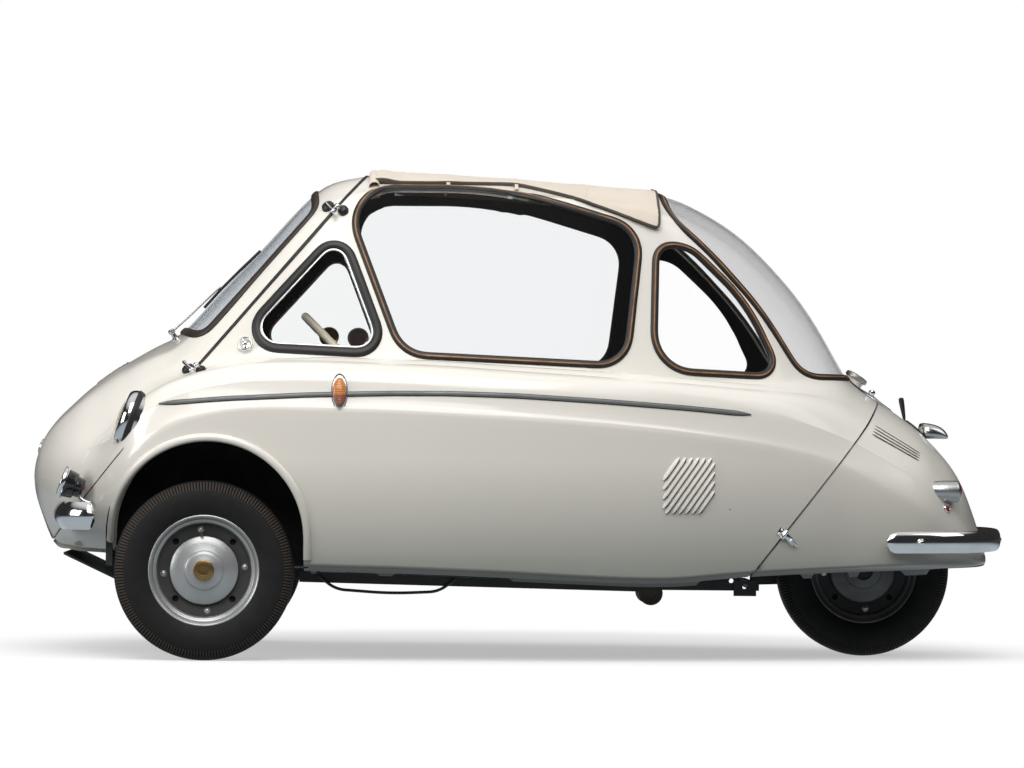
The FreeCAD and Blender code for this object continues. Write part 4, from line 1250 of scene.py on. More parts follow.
class CAR_OT_arches(bpy.types.Operator):
    """The rolled lips of the front wheel arches and the dark housings inside them"""

    bl_idname = "bubble_car.arches"
    bl_label = "Wheel Arches"

    def execute(self, context):
        side_strips("arch_lips", [arch_route()],
                    ((-1, -5), (-1.5, 2), (0.5, 6), (5, 8.6), (11, 8.6), (16.5, 6), (19.5, 1.5), (20, -3)),
                    (ARCH_X, ARCH_Z), body_paint(), "body", taper=0)
        points, room, inner = [], 18, 437
        route = [(ARCH_X + ARCH_RADIUS, LINER_FOOT)] + arch_route(LINER_FOOT)
        for x, z in route:
            edge, _ = skin().on_side(x, max(z, FRONT_FOOT if x > ARCH_X else REAR_FOOT))
            outer = edge.y / MM - 9
            away = Vector((x - ARCH_X, max(z - ARCH_Z, 0))).normalized() * room
            for y, share in ((inner, 1), (min(520, outer - 30), 1), (min(598, outer - 12), 1), (outer, 0)):
                points.append(((x + away.x * share) * MM, y * MM, (z + away.y * share) * MM))
        liner = from_points("arch_liners", points, grid_faces(len(route), 4, ringed=False))
        mesh = bmesh.new()
        mesh.from_mesh(liner.data)
        mesh.verts.ensure_lookup_table()
        mesh.faces.new([mesh.verts[i * 4] for i in range(len(route))])
        mesh.to_mesh(liner.data)
        mesh.free()
        outwards(liner)
        applied(liner, "SOLIDIFY", thickness=0.0012, offset=0)
        smooth(liner, 40)
        mirrored(liner)
        finished(liner, dark_well(), "body")
        return {"FINISHED"}


class CAR_OT_waist(bpy.types.Operator):
    """The bright waist strip on its dark bed, the door's shut-line rubber, dark strips of painted shade for
    the wing shut lines and a small plug in the left body side
    """

    bl_idname = "bubble_car.waist"
    bl_label = "Waist Strip and Shut Lines"

    def execute(self, context):
        side_strips("waist_strip_bed", [WAIST_ROUTE],
                    ((-7, -1), (-7, 1.2), (-5, 2), (5, 2), (7, 1.2), (7, -1)),
                    (200, 1200), dark_rubber_and_painted_shade(), "body", spacing=20.0)
        side_strips("waist_strip", [WAIST_ROUTE],
                    ((-5.4, 1), (-5.2, 3.0), (-2.4, 4.6), (2.4, 4.6), (5.2, 3.0), (5.4, 1)),
                    (200, 1200), dulled_strip(), "body", spacing=20.0)
        self.door_rubber()
        self.wing_groove()
        place, normal = skin().on_side(-538, 400)
        plug = lathe("body_plug", ((0.01, 0.6), (1.6, 0.5), (2.2, -0.6)), place / MM, normal, 12)
        finished(plug, dark_rubber_and_painted_shade(), "body")
        return {"FINISHED"}

    @staticmethod
    def wing_groove():
        """A dark strip on each wing, laid as painted shade for the shut line where the nose pressing meets
        it.
        """
        x, z, slope = DOOR_PLANE
        route = [(x + (z - level) / slope, level) for level in (546, 512, 478, 443, 400, 344, 314)]
        side_strips("wing_grooves", [route], ((-1.6, -1), (-1.6, 0.7), (1.6, 0.7), (1.6, -1)),
                    (1300, 800), dark_rubber_and_painted_shade(), "body", spacing=8.0)

    @staticmethod
    def door_rubber():
        """A thick black rubber that fills the door's shut line between its hinges and over the roof."""
        x, z, slope = DOOR_PLANE
        loop, reach, hinge_height, middle = WORK["door rims"][0], 26, 0.757, 0.75
        near = [p for p in loop
                if abs((p.x / MM - x) * slope + (p.z / MM - z)) < reach and p.z > hinge_height]
        near.sort(key=lambda p: math.atan2(p.y, p.z - middle))
        near = even(near, 12.0 * MM)
        rubber = strip("door_rubber", near,
                       ((-1, -6), (-1.5, 1.2), (1, 3.4), (5, 3.6), (8.2, 1.4), (7.5, -6)),
                       closed=False, centre=(1.3, 0, 0.7), taper=1)
        finished(rubber, dark_rubber_and_painted_shade(), "front_door")


class CAR_OT_vents(bpy.types.Operator):
    """Pressed louvres behind each seat and slots in the tail cover, both with dark strips laid as painted
    shade, and the vent flap on the nose
    """

    bl_idname = "bubble_car.vents"
    bl_label = "Louvres and Vents"

    def execute(self, context):
        rise = sizes().louvre_rise / MM
        routes = [self.louvre(k) for k in range(10)]
        side_strips("side_louvres", routes,
                    ((-6.2, -0.6), (-5, 1.2), (-1, rise - 0.6), (3, rise), (5, rise * 0.55), (5.2, -0.6)),
                    (200, 900), body_paint(), "body", spacing=7.0)
        # dark strips beside each louvre: painted shade where the pressed lips overhang
        side_strips("side_louvre_gaps", routes, ((4.8, -0.6), (5.0, 0.7), (7.4, 0.4), (7.6, -0.6)),
                    (200, 900), dark_rubber_and_painted_shade(), "body", taper=1, spacing=7.0)
        # the tail slots are dark strips laid on the cover as painted shade for the openings
        slots = [((-934 + 3.3 * i, 622 - 7.8 * i), (-1060 + 2.3 * i, 549 - 6.3 * i)) for i in range(4)]
        side_strips("tail_slots", slots, ((-2.7, -1), (-2.7, 0.8), (2.7, 0.8), (2.7, -1)),
                    (-900, 1200), dark_rubber_and_painted_shade(), "engine_cover", taper=1, spacing=8.0)
        side_strips("tail_slot_lips", slots, ((2.7, -0.5), (2.9, 1.0), (3.6, 1.1), (4.4, -0.3)),
                    (-900, 1200), body_paint(), "engine_cover", taper=1, spacing=10.0)
        self.flap()
        return {"FINISHED"}

    @staticmethod
    def louvre(number):
        """The line of one louvre, clipped to the block that they fill."""
        run, low, high, front, rear, level = 0.7, 389, 533, -361, -495, 461
        first, spacing = -351, 17
        middle = first - spacing * number

        def at(z):
            return middle - (z - level) * run

        bottom, top = low, high
        if at(bottom) > front:
            bottom = level + (middle - front) / run
        if at(top) < rear:
            top = level + (middle - rear) / run
        return [(at(bottom), bottom), (at(top), top)]

    @staticmethod
    def flap():
        """The scuttle vent: a thin plate with a rolled edge on a dark gasket, laid on the nose."""
        low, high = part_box("vent_flap")
        rows, along, wide, half_width = [], 9, 15, 0.078
        for share in np.linspace(0.04, 0.96, along):
            x = low[0] + (high[0] - low[0]) * share
            rows.append([skin().cast((x, y, 2), (0, 0, -1))
                         for y in np.linspace(-half_width, half_width, wide)])
        for name, grow, lift, thick, material, slot in (
            ("vent_gasket", 1.0, 0.0002, 0.0012, dark_rubber_and_painted_shade(), "black_paint"),
            ("vent_lid", 0.955, 0.0014, 0.0016, body_paint(), "cream_paint"),
        ):
            middle = rows[along // 2][wide // 2][0]
            points = [middle + (place - middle) * grow + normal * lift for row in rows for place,
                      normal in row]
            plate = outwards(from_points(name, points, grid_faces(along, wide, ringed=False)))
            if sum((f.normal for f in plate.data.polygons), Vector()).z < 0:
                plate.data.flip_normals()
            applied(plate, "SOLIDIFY", thickness=thick, offset=1)
            applied(plate, "BEVEL", width=0.0006, segments=2)
            smooth(plate, 50)
            finished(plate, material, "front_door", ("vent_flap",) if name == "vent_lid" else ())


class CAR_OT_hinges(bpy.types.Operator):
    """The bright door hinges with their black grommets, and the tail hinges with their long straps"""

    bl_idname = "bubble_car.hinges"
    bl_label = "Door and Tail Hinges"

    def execute(self, context):
        pins = (((857, 533, 757), (886, 496, 771), (840, 520, 748)),
                ((495, 459, 1177), (520, 424, 1190), (474, 430, 1168)))
        axis = (Vector(pins[1][0]) - Vector(pins[0][0])).normalized()
        arms, bases, cuffs, feet = [], [], [], []
        for pivot, door_end, body_end in pins:
            centre = Vector(pivot)
            arms.append(self.knuckle(centre - axis * 10, axis, 12))
            arms.append(self.limb(centre - axis * 10, door_end))
            bases.append(self.knuckle(centre + axis * 7, axis, 12))
            bases.append(self.limb(centre + axis * 8, body_end))
            for end, group, radius in ((door_end, cuffs, 18), (body_end, feet, 15)):
                place, normal = skin().nearest(Vector(end) * MM)
                group.append(lathe("cuff", ((0.01, 13), (radius * 0.5, 12), (radius * 0.86, 7.5),
                                            (radius, -1.5), (radius * 0.6, -3)), place / MM, normal, 24))
        finished(mirrored(joined("door_hinge_levers", arms)), chrome(), "front_door",
                 ("door_hinge_arms",))
        finished(mirrored(joined("door_hinge_feet", bases)), chrome(), "body",
                 ("door_hinge_bases",))
        finished(mirrored(joined("door_hinge_grommets", cuffs)), dark_rubber_and_painted_shade(), "front_door")
        finished(mirrored(joined("door_hinge_pads", feet)), dark_rubber_and_painted_shade(), "body")
        self.tail()
        return {"FINISHED"}

    @staticmethod
    def knuckle(centre, axis, length):
        """A rounded barrel round the hinge pin."""
        half = length / 2
        return spun("knuckle", ((0.01, -half), (5.5, -half), (7.4, -half + 1.6), (7.8, 0), (7.4, half - 1.6),
                                (5.5, half), (0.01, half)), centre, axis, 20, 50)

    @staticmethod
    def limb(start, end):
        """A forged arm that swells at both ends."""
        a, b = Vector(start), Vector(end)
        length = (b - a).length
        return spun("limb", ((0.01, 0), (5.4, 0), (4.6, length * 0.3), (4.2, length * 0.6),
                             (5.6, length * 0.9), (5.0, length), (0.01, length)), a, b - a, 16, 50)

    @staticmethod
    def tail():
        """Long straps either side of the tail's hinge pins."""
        pin_x, pin_z = -948, 711
        for name, body, node, ends, spans in (
            ("tail_hinge_plates", "body", "tail_hinge_bases", (pin_x, -882), ((-11.5, 11.5),)),
            ("tail_hinge_straps", "engine_cover", "tail_hinge_leaves", (pin_x, -1001),
             ((-25.5, -13), (13, 25.5))),
        ):
            pieces = []
            for middle in (-120, 120):
                for low, high in spans:
                    centre = Vector((pin_x, middle + (low + high) / 2, pin_z))
                    pieces.append(CAR_OT_hinges.knuckle(centre, (0, 1, 0), high - low))
                    rows = []
                    for x in np.linspace(*ends, 7):
                        place, normal = skin().cast((x * MM, centre.y * MM, 2), (0, 0, -1))
                        share = abs(x - pin_x) / abs(ends[1] - ends[0])
                        lift = (5.0 * (1 - share) ** 2 + 1.4) * MM
                        half = (high - low) / 2 * (1 - 0.35 * share ** 2) * MM
                        rows.append([place + Vector((0, half * t, 0)) + normal * (lift + thick * MM)
                                     for t, thick in ((-1, -2.5), (-1, 0.8), (-0.5, 1.6), (0.5, 1.6),
                                                      (1, 0.8), (1, -2.5))])
                    faces = grid_faces(len(rows), len(rows[0])) + end_faces(len(rows), len(rows[0]))
                    pieces.append(smooth(outwards(from_points("strap", [p for row in rows for p in row],
                                                              faces)), 50))
            finished(joined(name, pieces), chrome(), body, (node,))


# ---------------------------------------------------------------- lamps and bumpers
def softened(route):
    """A route with its corners cut round and round until it is smooth."""
    points = [Vector(p) for p in route]
    for _ in range(3):
        cut = [points[0]]
        for a, b in zip(points, points[1:]):
            cut += [a.lerp(b, 0.25), a.lerp(b, 0.75)]
        points = cut + [points[-1]]
    return points


def bar(name, route, section, spacing=14.0, round_ends=(3, 3)):
    """A bar whose section of (outwards, up) follows a level route; its ends are rounded off."""
    path = even([p * MM for p in softened(route)], spacing * MM)
    count, points = len(path), []
    centre = Vector((0, 0, path[0].z))
    for i, place in enumerate(path):
        run = (path[min(i + 1, count - 1)] - path[max(i - 1, 0)]).normalized()
        out = run.cross(Vector((0, 0, 1))).normalized()
        if out.dot(place - centre) < 0:
            out.negate()
        share = 1.0
        for end, reach in ((i, round_ends[0]), (count - 1 - i, round_ends[1])):
            if reach and end < reach:
                share = min(share, math.sqrt(max(0.06, 1 - (1 - (end + 0.25) / (reach + 0.25)) ** 2)))
        points += [place + (out * a * (0.4 + 0.6 * share) + Vector((0, 0, 1)) * u * share) * MM for a,
                   u in section]
    faces = grid_faces(count, len(section)) + end_faces(count, len(section))
    return smooth(outwards(from_points(name, points, faces)), 50)


def turned_set(centre, axis, body, parts):
    """Turned pieces on one axis, on both sides: name, profile, segments, finish, slot and frame nodes."""
    for name, profile, segments, look, slot, *nodes in parts:
        finished(mirrored(spun(name, profile, centre, axis, segments)), look, body, nodes)


def dome_bolt(centre, axis, radius, height=None):
    """A dome-headed bolt on a washer."""
    height = height or radius * 0.8
    return spun("bolt", ((0.01, -2), (radius * 1.25, -2), (radius * 1.3, 0), (radius * 1.2, 0.8),
                                 (radius, 1.0), (radius * 0.93, height * 0.55), (radius * 0.6, height * 0.9),
                                 (0.01, height)), centre, axis, 24)


def lens_finish(name, color, roughness=0.12, flutes=0.0):
    """A moulded lens: deep colour under a clear coat, with ribs in relief."""
    if name in bpy.data.materials:
        return bpy.data.materials[name]
    material = finish(name, color, roughness, patches=0.15, scale=30.0, Coat_Weight=0.8, Coat_Roughness=0.04)
    if flutes:
        tree = material.node_tree
        wave = math_node(tree, "SINE", math_node(tree, "MULTIPLY", split_place(tree)["Y"], flutes))
        embossed(material, wave, 0.5)
    return material


def red_lens():
    """The deep red of the reflectors and the tail lamps."""
    return lens_finish("Red Lens", (0.35, 0.015, 0.012), 0.15)


class CAR_OT_headlamps(bpy.types.Operator):
    """Headlamps: deep bright rims on a rubber gasket, fluted lenses and a reflector with its bulb"""

    bl_idname = "bubble_car.headlamps"
    bl_label = "Headlamps"

    def execute(self, context):
        centre = HEADLAMP_CENTRE
        bulb = finish("Bulb Glass", (0.78, 0.70, 0.48), 0.12, patches=0.1, Coat_Weight=0.6)
        turned_set(centre, LAMP_AXIS, "body", (
            ("headlamp_gaskets",
             ((71, -26), (75, -16), (78, -8), (78.4, -3), (76.6, -0.5), (73, -3), (71, -26)),
             72, dark_rubber_and_painted_shade(), "black_paint"),
            ("headlamp_rims",
             ((72, -30), (76.4, -8), (77, -2), (76.4, 5), (73.5, 12), (69, 18), (65, 20.5), (62.6, 20),
              (62.2, 17), (64, 0), (66, -20), (72, -30)), 72, chrome(), "chrome"),
            ("headlamp_bowls",
             ((63, 14), (60, 2), (52, -14), (38, -27), (20, -34), (0.01, -36), (0.01, -38), (22, -36),
              (42, -29), (58, -14), (64.5, 3), (64.5, 14), (63, 14)), 72, chrome(), "chrome"),
            ("headlamp_bulbs",
             ((0.01, -34), (8, -34), (8, -20), (11, -12), (12, -4), (8, 4), (0.01, 6)),
             72, bulb, "lamp_glass"),
            ("headlamp_lenses",
             ((0.01, 31), (14, 30.4), (28, 28.6), (42, 25.6), (54, 21.6), (62.8, 17.4), (62.6, 14.5),
              (53, 18.6), (42, 22.4), (28, 25.2), (0.01, 27.6)), 72, self.glass(), "lamp_glass", "headlamps"),
        ))
        down = Vector((math.sin(LAMP_TILT), 0, -math.cos(LAMP_TILT)))
        screw = Vector(centre) + down * 71 + Vector(LAMP_AXIS) * 15
        finished(mirrored(dome_bolt(screw, Vector(LAMP_AXIS) + down * 0.7, 3.4)), dull_metal(), "body")
        bpy.context.object.name = "headlamp_screws"
        return {"FINISHED"}

    @staticmethod
    def glass():
        """Clear glass pressed with upright flutes."""
        if "Fluted Glass" in bpy.data.materials:
            return bpy.data.materials["Fluted Glass"]
        material = pane("Fluted Glass", (0.93, 0.92, 0.86), 0.06)
        tree = material.node_tree
        wave = math_node(tree, "SINE", math_node(tree, "MULTIPLY", split_place(tree)["Y"], 900.0))
        embossed(material, wave, 0.6)
        return material


class CAR_OT_front_lamps(bpy.types.Operator):
    """Black auxiliary lamps ahead of the wings, on short bright posts"""

    bl_idname = "bubble_car.front_lamps"
    bl_label = "Front Lamps"

    def execute(self, context):
        centre, tilt = Vector((1194, 500, 455)), math.radians(19.8)
        axis = Vector((math.cos(tilt), 0, math.sin(tilt)))
        black = finish("Lamp Black", (0.014, 0.014, 0.015), 0.16, patches=0.15, scale=20.0, Coat_Weight=0.5)
        milky = lens_finish("Milky Lens", (0.66, 0.66, 0.62), 0.14, flutes=1100.0)
        turned_set(centre, axis, "body", (
            ("front_lamp_shells",
             ((0.01, -54), (20, -54), (24, -51), (26, -44), (27, -34), (32, -32), (34, -28), (38, -3),
              (38.6, 1), (36, 1), (31, -24), (0.01, -26)), 56, black, "black_paint", "front_lamps"),
            ("front_lamp_rims",
             ((37.5, -6), (41, -5.5), (42.5, -2.5), (42.6, 3), (41, 6.4), (37, 8), (34.4, 7), (34.2, 3),
              (37, 0), (37.5, -6)), 56, chrome(), "chrome"),
            ("front_lamp_lenses",
             ((0.01, 9.5), (14, 8.9), (26, 7.2), (35, 4.2), (34.8, 1.2), (20, 4), (0.01, 5)),
             48, milky, "lamp_glass"),
        ))
        eye = lathe("front_lamp_reflectors", ((0.01, -60), (6, -59.4), (9.5, -57), (10, -53), (0.01, -53)),
                    centre + Vector((0, 9, 6)), axis, 24)
        finished(mirrored(eye), red_lens(), "body")
        posts = [tube("post", [centre - axis * 40 + Vector((0, dy, -18)), centre - axis * 44
                               + Vector((-4, dy, -34)), Vector((1126, 500 + dy * 1.4, 402))], 4.2)
                 for dy in (-9, 9)]
        posts.append(dome_bolt(centre - axis * 44 + Vector((0, 21, -2)), (0, 1, 0), 5))
        finished(mirrored(joined("front_lamp_posts", [smooth(p, 50) for p in posts])), chrome(), "body")
        return {"FINISHED"}


DROP_POINTS = 28
INDICATOR_PLACE = (478, 694)


class CAR_OT_small_lamps(bpy.types.Operator):
    """Amber side indicators, tail lamps in bright sleeves, small reflectors and the number-plate lamp"""

    bl_idname = "bubble_car.small_lamps"
    bl_label = "Indicators and Tail Lamps"

    def execute(self, context):
        self.indicators()
        self.tail_lamps()
        self.plate_lamp()
        return {"FINISHED"}

    @staticmethod
    def drop(name, rows, top, bottom):
        """A drop-shaped button on the wing side, in rows of (size, rise)."""
        place, normal = skin().on_side(*INDICATOR_PLACE)
        up = (Vector((0, 0, 1)) - normal * normal.z).normalized()
        along = up.cross(normal)
        points = []
        for size, rise in rows:
            for k in range(DROP_POINTS):
                t = math.tau * k / DROP_POINTS
                height = math.cos(t) * (top if math.cos(t) > 0 else bottom) * size
                width = math.sin(t) * 19.0 * size * (1.0 if math.cos(t) > 0 else 1 - 0.16 * math.cos(t) ** 2)
                points.append(place + (along * width + up * height + normal * rise) * MM)
        faces = grid_faces(len(rows), DROP_POINTS) + [end[::-1] for end in end_faces(len(rows), DROP_POINTS)]
        return smooth(outwards(from_points(name, points, faces)), 42)

    def indicators(self):
        # columns: name | rows | size above and below the middle | finish | slot | frame node
        for name, rows, top, bottom, look, slot, *nodes in (
            ("indicator_gaskets", ((1.13, -4), (1.14, 1.5), (1.08, 3.2), (0.9, 3.2)),
             43, 45, dark_rubber_and_painted_shade(), "black_paint"),
            ("indicator_frames", ((1.06, 2), (1.06, 6), (1.0, 8.4), (0.92, 8.8), (0.8, 8.6)),
             42, 44, chrome(), "chrome"),
            ("indicator_lenses",
             ((0.9, 5), (0.89, 10.5), (0.8, 14), (0.62, 16.2), (0.36, 17.4), (0.12, 17.9)),
             42, 44, self.amber(), "amber_lens", "side_indicators"),
        ):
            finished(mirrored(self.drop(name, rows, top, bottom)), look, "body", nodes)

    @staticmethod
    def amber():
        """Amber above and deep red below, ribbed across, with pale spots painted on as glints."""
        material = lens_finish("Amber Lens", (0.62, 0.20, 0.02), 0.16)
        if "ribbed" not in material:
            tree = material.node_tree
            place = split_place(tree)
            low = math_node(tree, "LESS_THAN", place["Z"], 0.688)
            layered(material, low, (0.20, 0.028, 0.016), 0.85)
            # pale spots where the ribs peak: painted glints
            stripe = math_node(tree, "SINE", math_node(tree, "MULTIPLY", place["X"], 1100.0))
            wave = math_node(tree, "SINE", math_node(tree, "MULTIPLY", place["Z"], 1400.0))
            pale = math_node(tree, "GREATER_THAN", math_node(tree, "ADD", stripe, wave), 1.25)
            layered(material, pale, (0.80, 0.50, 0.25), 0.35)
            embossed(material, wave, 0.6)
            material["ribbed"] = True
        return material

    @staticmethod
    def tail_lamps():
        """A sleeve, a red lens at its end and a rubber foot, each side of the cover."""
        centre, axis = Vector((-1066, 325, 449)), Vector((-1, 0, 0))
        turned_set(centre, axis, "engine_cover", (
            ("tail_lamp_sleeves",
             ((27, -2), (28, 40), (29, 50), (29, 88), (28, 93), (24, 97), (21, 98), (20, 94), (22, 60),
              (27, -2)), 48, satin_bright(), "chrome", "tail_lamps"),
            ("tail_lamp_lenses",
             ((0.01, 103), (9, 102.6), (16, 101), (21, 97), (20.6, 90), (0.01, 90)),
             40, red_lens(), "amber_lens"),
            ("tail_lamp_feet",
             ((27, -12), (33, -12), (36, -7), (36.5, 0), (35, 6), (31, 9), (28.5, 9), (27, -12)),
             48, dark_rubber_and_painted_shade(), "black_paint"),
        ))
        place, normal = skin().cast((-1.4, 0.338, 0.404), (1, 0, 0))
        turned_set(place / MM, normal, "engine_cover", (
            ("tail_reflectors", ((0.01, 6), (5, 5.4), (8, 4), (9, 1), (9.4, -3), (0.01, -3)),
             32, red_lens(), "amber_lens"),
            ("tail_reflector_rings",
             ((8.4, -2), (8.4, 4.4), (9.6, 5.2), (11, 3.2), (11.6, -2), (8.4, -2)), 32, chrome(), "chrome"),
        ))

    @staticmethod
    def plate_lamp():
        """A bright hood over the blank number plate's place, on a rubber gasket."""
        rows = ((-1086, 634, 587), (-1115, 631, 588), (-1138, 626, 588), (-1154, 616, 588), (-1162, 606, 588),
                (-1166, 596, 589))
        points, wide = [], 15
        for i, (x, top, low) in enumerate(rows):
            half = 50 - i * 2.5
            for k in range(wide):
                t = math.pi * k / (wide - 1)
                points.append((x * MM, math.copysign(abs(math.cos(t)) ** 0.5, math.cos(t)) * half * MM,
                               (low + (top - low) * math.sin(t) ** 0.6) * MM))
        faces = grid_faces(len(rows), wide) + end_faces(len(rows), wide)
        hood = outwards(from_points("plate_lamp_hood", points, faces))
        applied(hood, "SUBSURF", levels=1, render_levels=1)
        smooth(hood, 45)
        finished(hood, satin_bright(), "engine_cover", ("plate_lamp",))
        edge = []
        for k in range(40):
            t = math.tau * k / 40
            y = math.copysign(abs(math.sin(t)) ** 0.6, math.sin(t)) * 50
            z = 612 + math.copysign(abs(math.cos(t)) ** 0.8, math.cos(t)) * 22
            edge.append(skin().cast((-1.4, y * MM, z * MM), (1, 0, 0))[0])
        gasket = strip("plate_lamp_gasket", edge, ((-6, -3), (-6, 3.5), (0, 5.5), (4.5, 3), (5, -3)))
        finished(gasket, dark_rubber_and_painted_shade(), "engine_cover")


class CAR_OT_bumpers(bpy.types.Operator):
    """The bright corner bars at the front and the wrap-round bar at the back, with their bolts"""

    bl_idname = "bubble_car.bumpers"
    bl_label = "Bumpers"

    def execute(self, context):
        height = 36
        section = [(11 * math.cos(t) ** 2 * (1 if abs(t) < 1.5 else 0.2) - 2 + 3 * math.cos(2 * t),
                    height * math.sin(t)) for t in np.linspace(-math.pi / 2, math.pi / 2, 13)]
        section += [(-7, height * 0.8), (-8, 0), (-7, -height * 0.8)]
        front = bar("front_corner_bars", ((1107, 618, 369), (1142, 612, 369), (1182, 585, 369),
                                          (1200, 520, 369), (1210, 440, 369), (1219, 352, 369)), section, 6.0,
                    (3, 5))
        bolts = [dome_bolt((1178, 578, 371), Vector((0.72, 0.7, 0)), 8.5, 6.5)]
        stays = [tube("stay", ((1130, 470, 371), (1170, 470, 371), (1203, 470, 371)), 8),
                 tube("stay", ((1118, 545, 371), (1132, 570, 371), (1150, 594, 371)), 7)]
        finished(mirrored(joined("front_corner_bar_set", [front] + bolts)), chrome(), "body",
                 ("front_bumpers",))
        finished(mirrored(joined("front_bar_stays", stays)), black_enamel_and_painted_shade(), "body")

        height = 28.5
        section = [(12 * math.cos(t) ** 1.2 - 1, height * math.copysign(abs(math.sin(t)) ** 0.8, math.sin(t)))
                   for t in np.linspace(-math.pi / 2, math.pi / 2, 15)]
        section += [(-5, height * 0.78), (-7, 0), (-5, -height * 0.78)]
        half = [(-958, 457, 315), (-1060, 444, 316), (-1160, 416, 317), (-1230, 352, 318), (-1264, 262, 319),
                (-1286, 150, 320), (-1292, 40, 320)]
        rear = bar("rear_bar", half + [(x, -y, z) for x, y, z in reversed(half)], section, 9.0, (3, 3))
        bolts = []
        for side in (LEFT, RIGHT):
            bolts.append(dome_bolt((-1048, side * 457, 315), (-0.15, side, 0), 8.5, 7))
            bolts.append(dome_bolt((-1292, side * 150, 319), (-0.98, side * 0.2, 0), 7.5, 5.5))
        finished(joined("rear_wrap_bar", [rear] + bolts), chrome(), "engine_cover",
                 ("rear_bumper",))
        lines = (((-1225, 150), (-1255, 150), (-1282, 150)), ((-1040, 395), (-1045, 425), (-1048, 446)))
        stays = [tube("stay", [(x, side * y, 322) for x, y in line], 9)
                 for line in lines for side in (LEFT, RIGHT)]
        finished(joined("rear_bar_stays", stays), black_enamel_and_painted_shade(), "engine_cover")
        return {"FINISHED"}


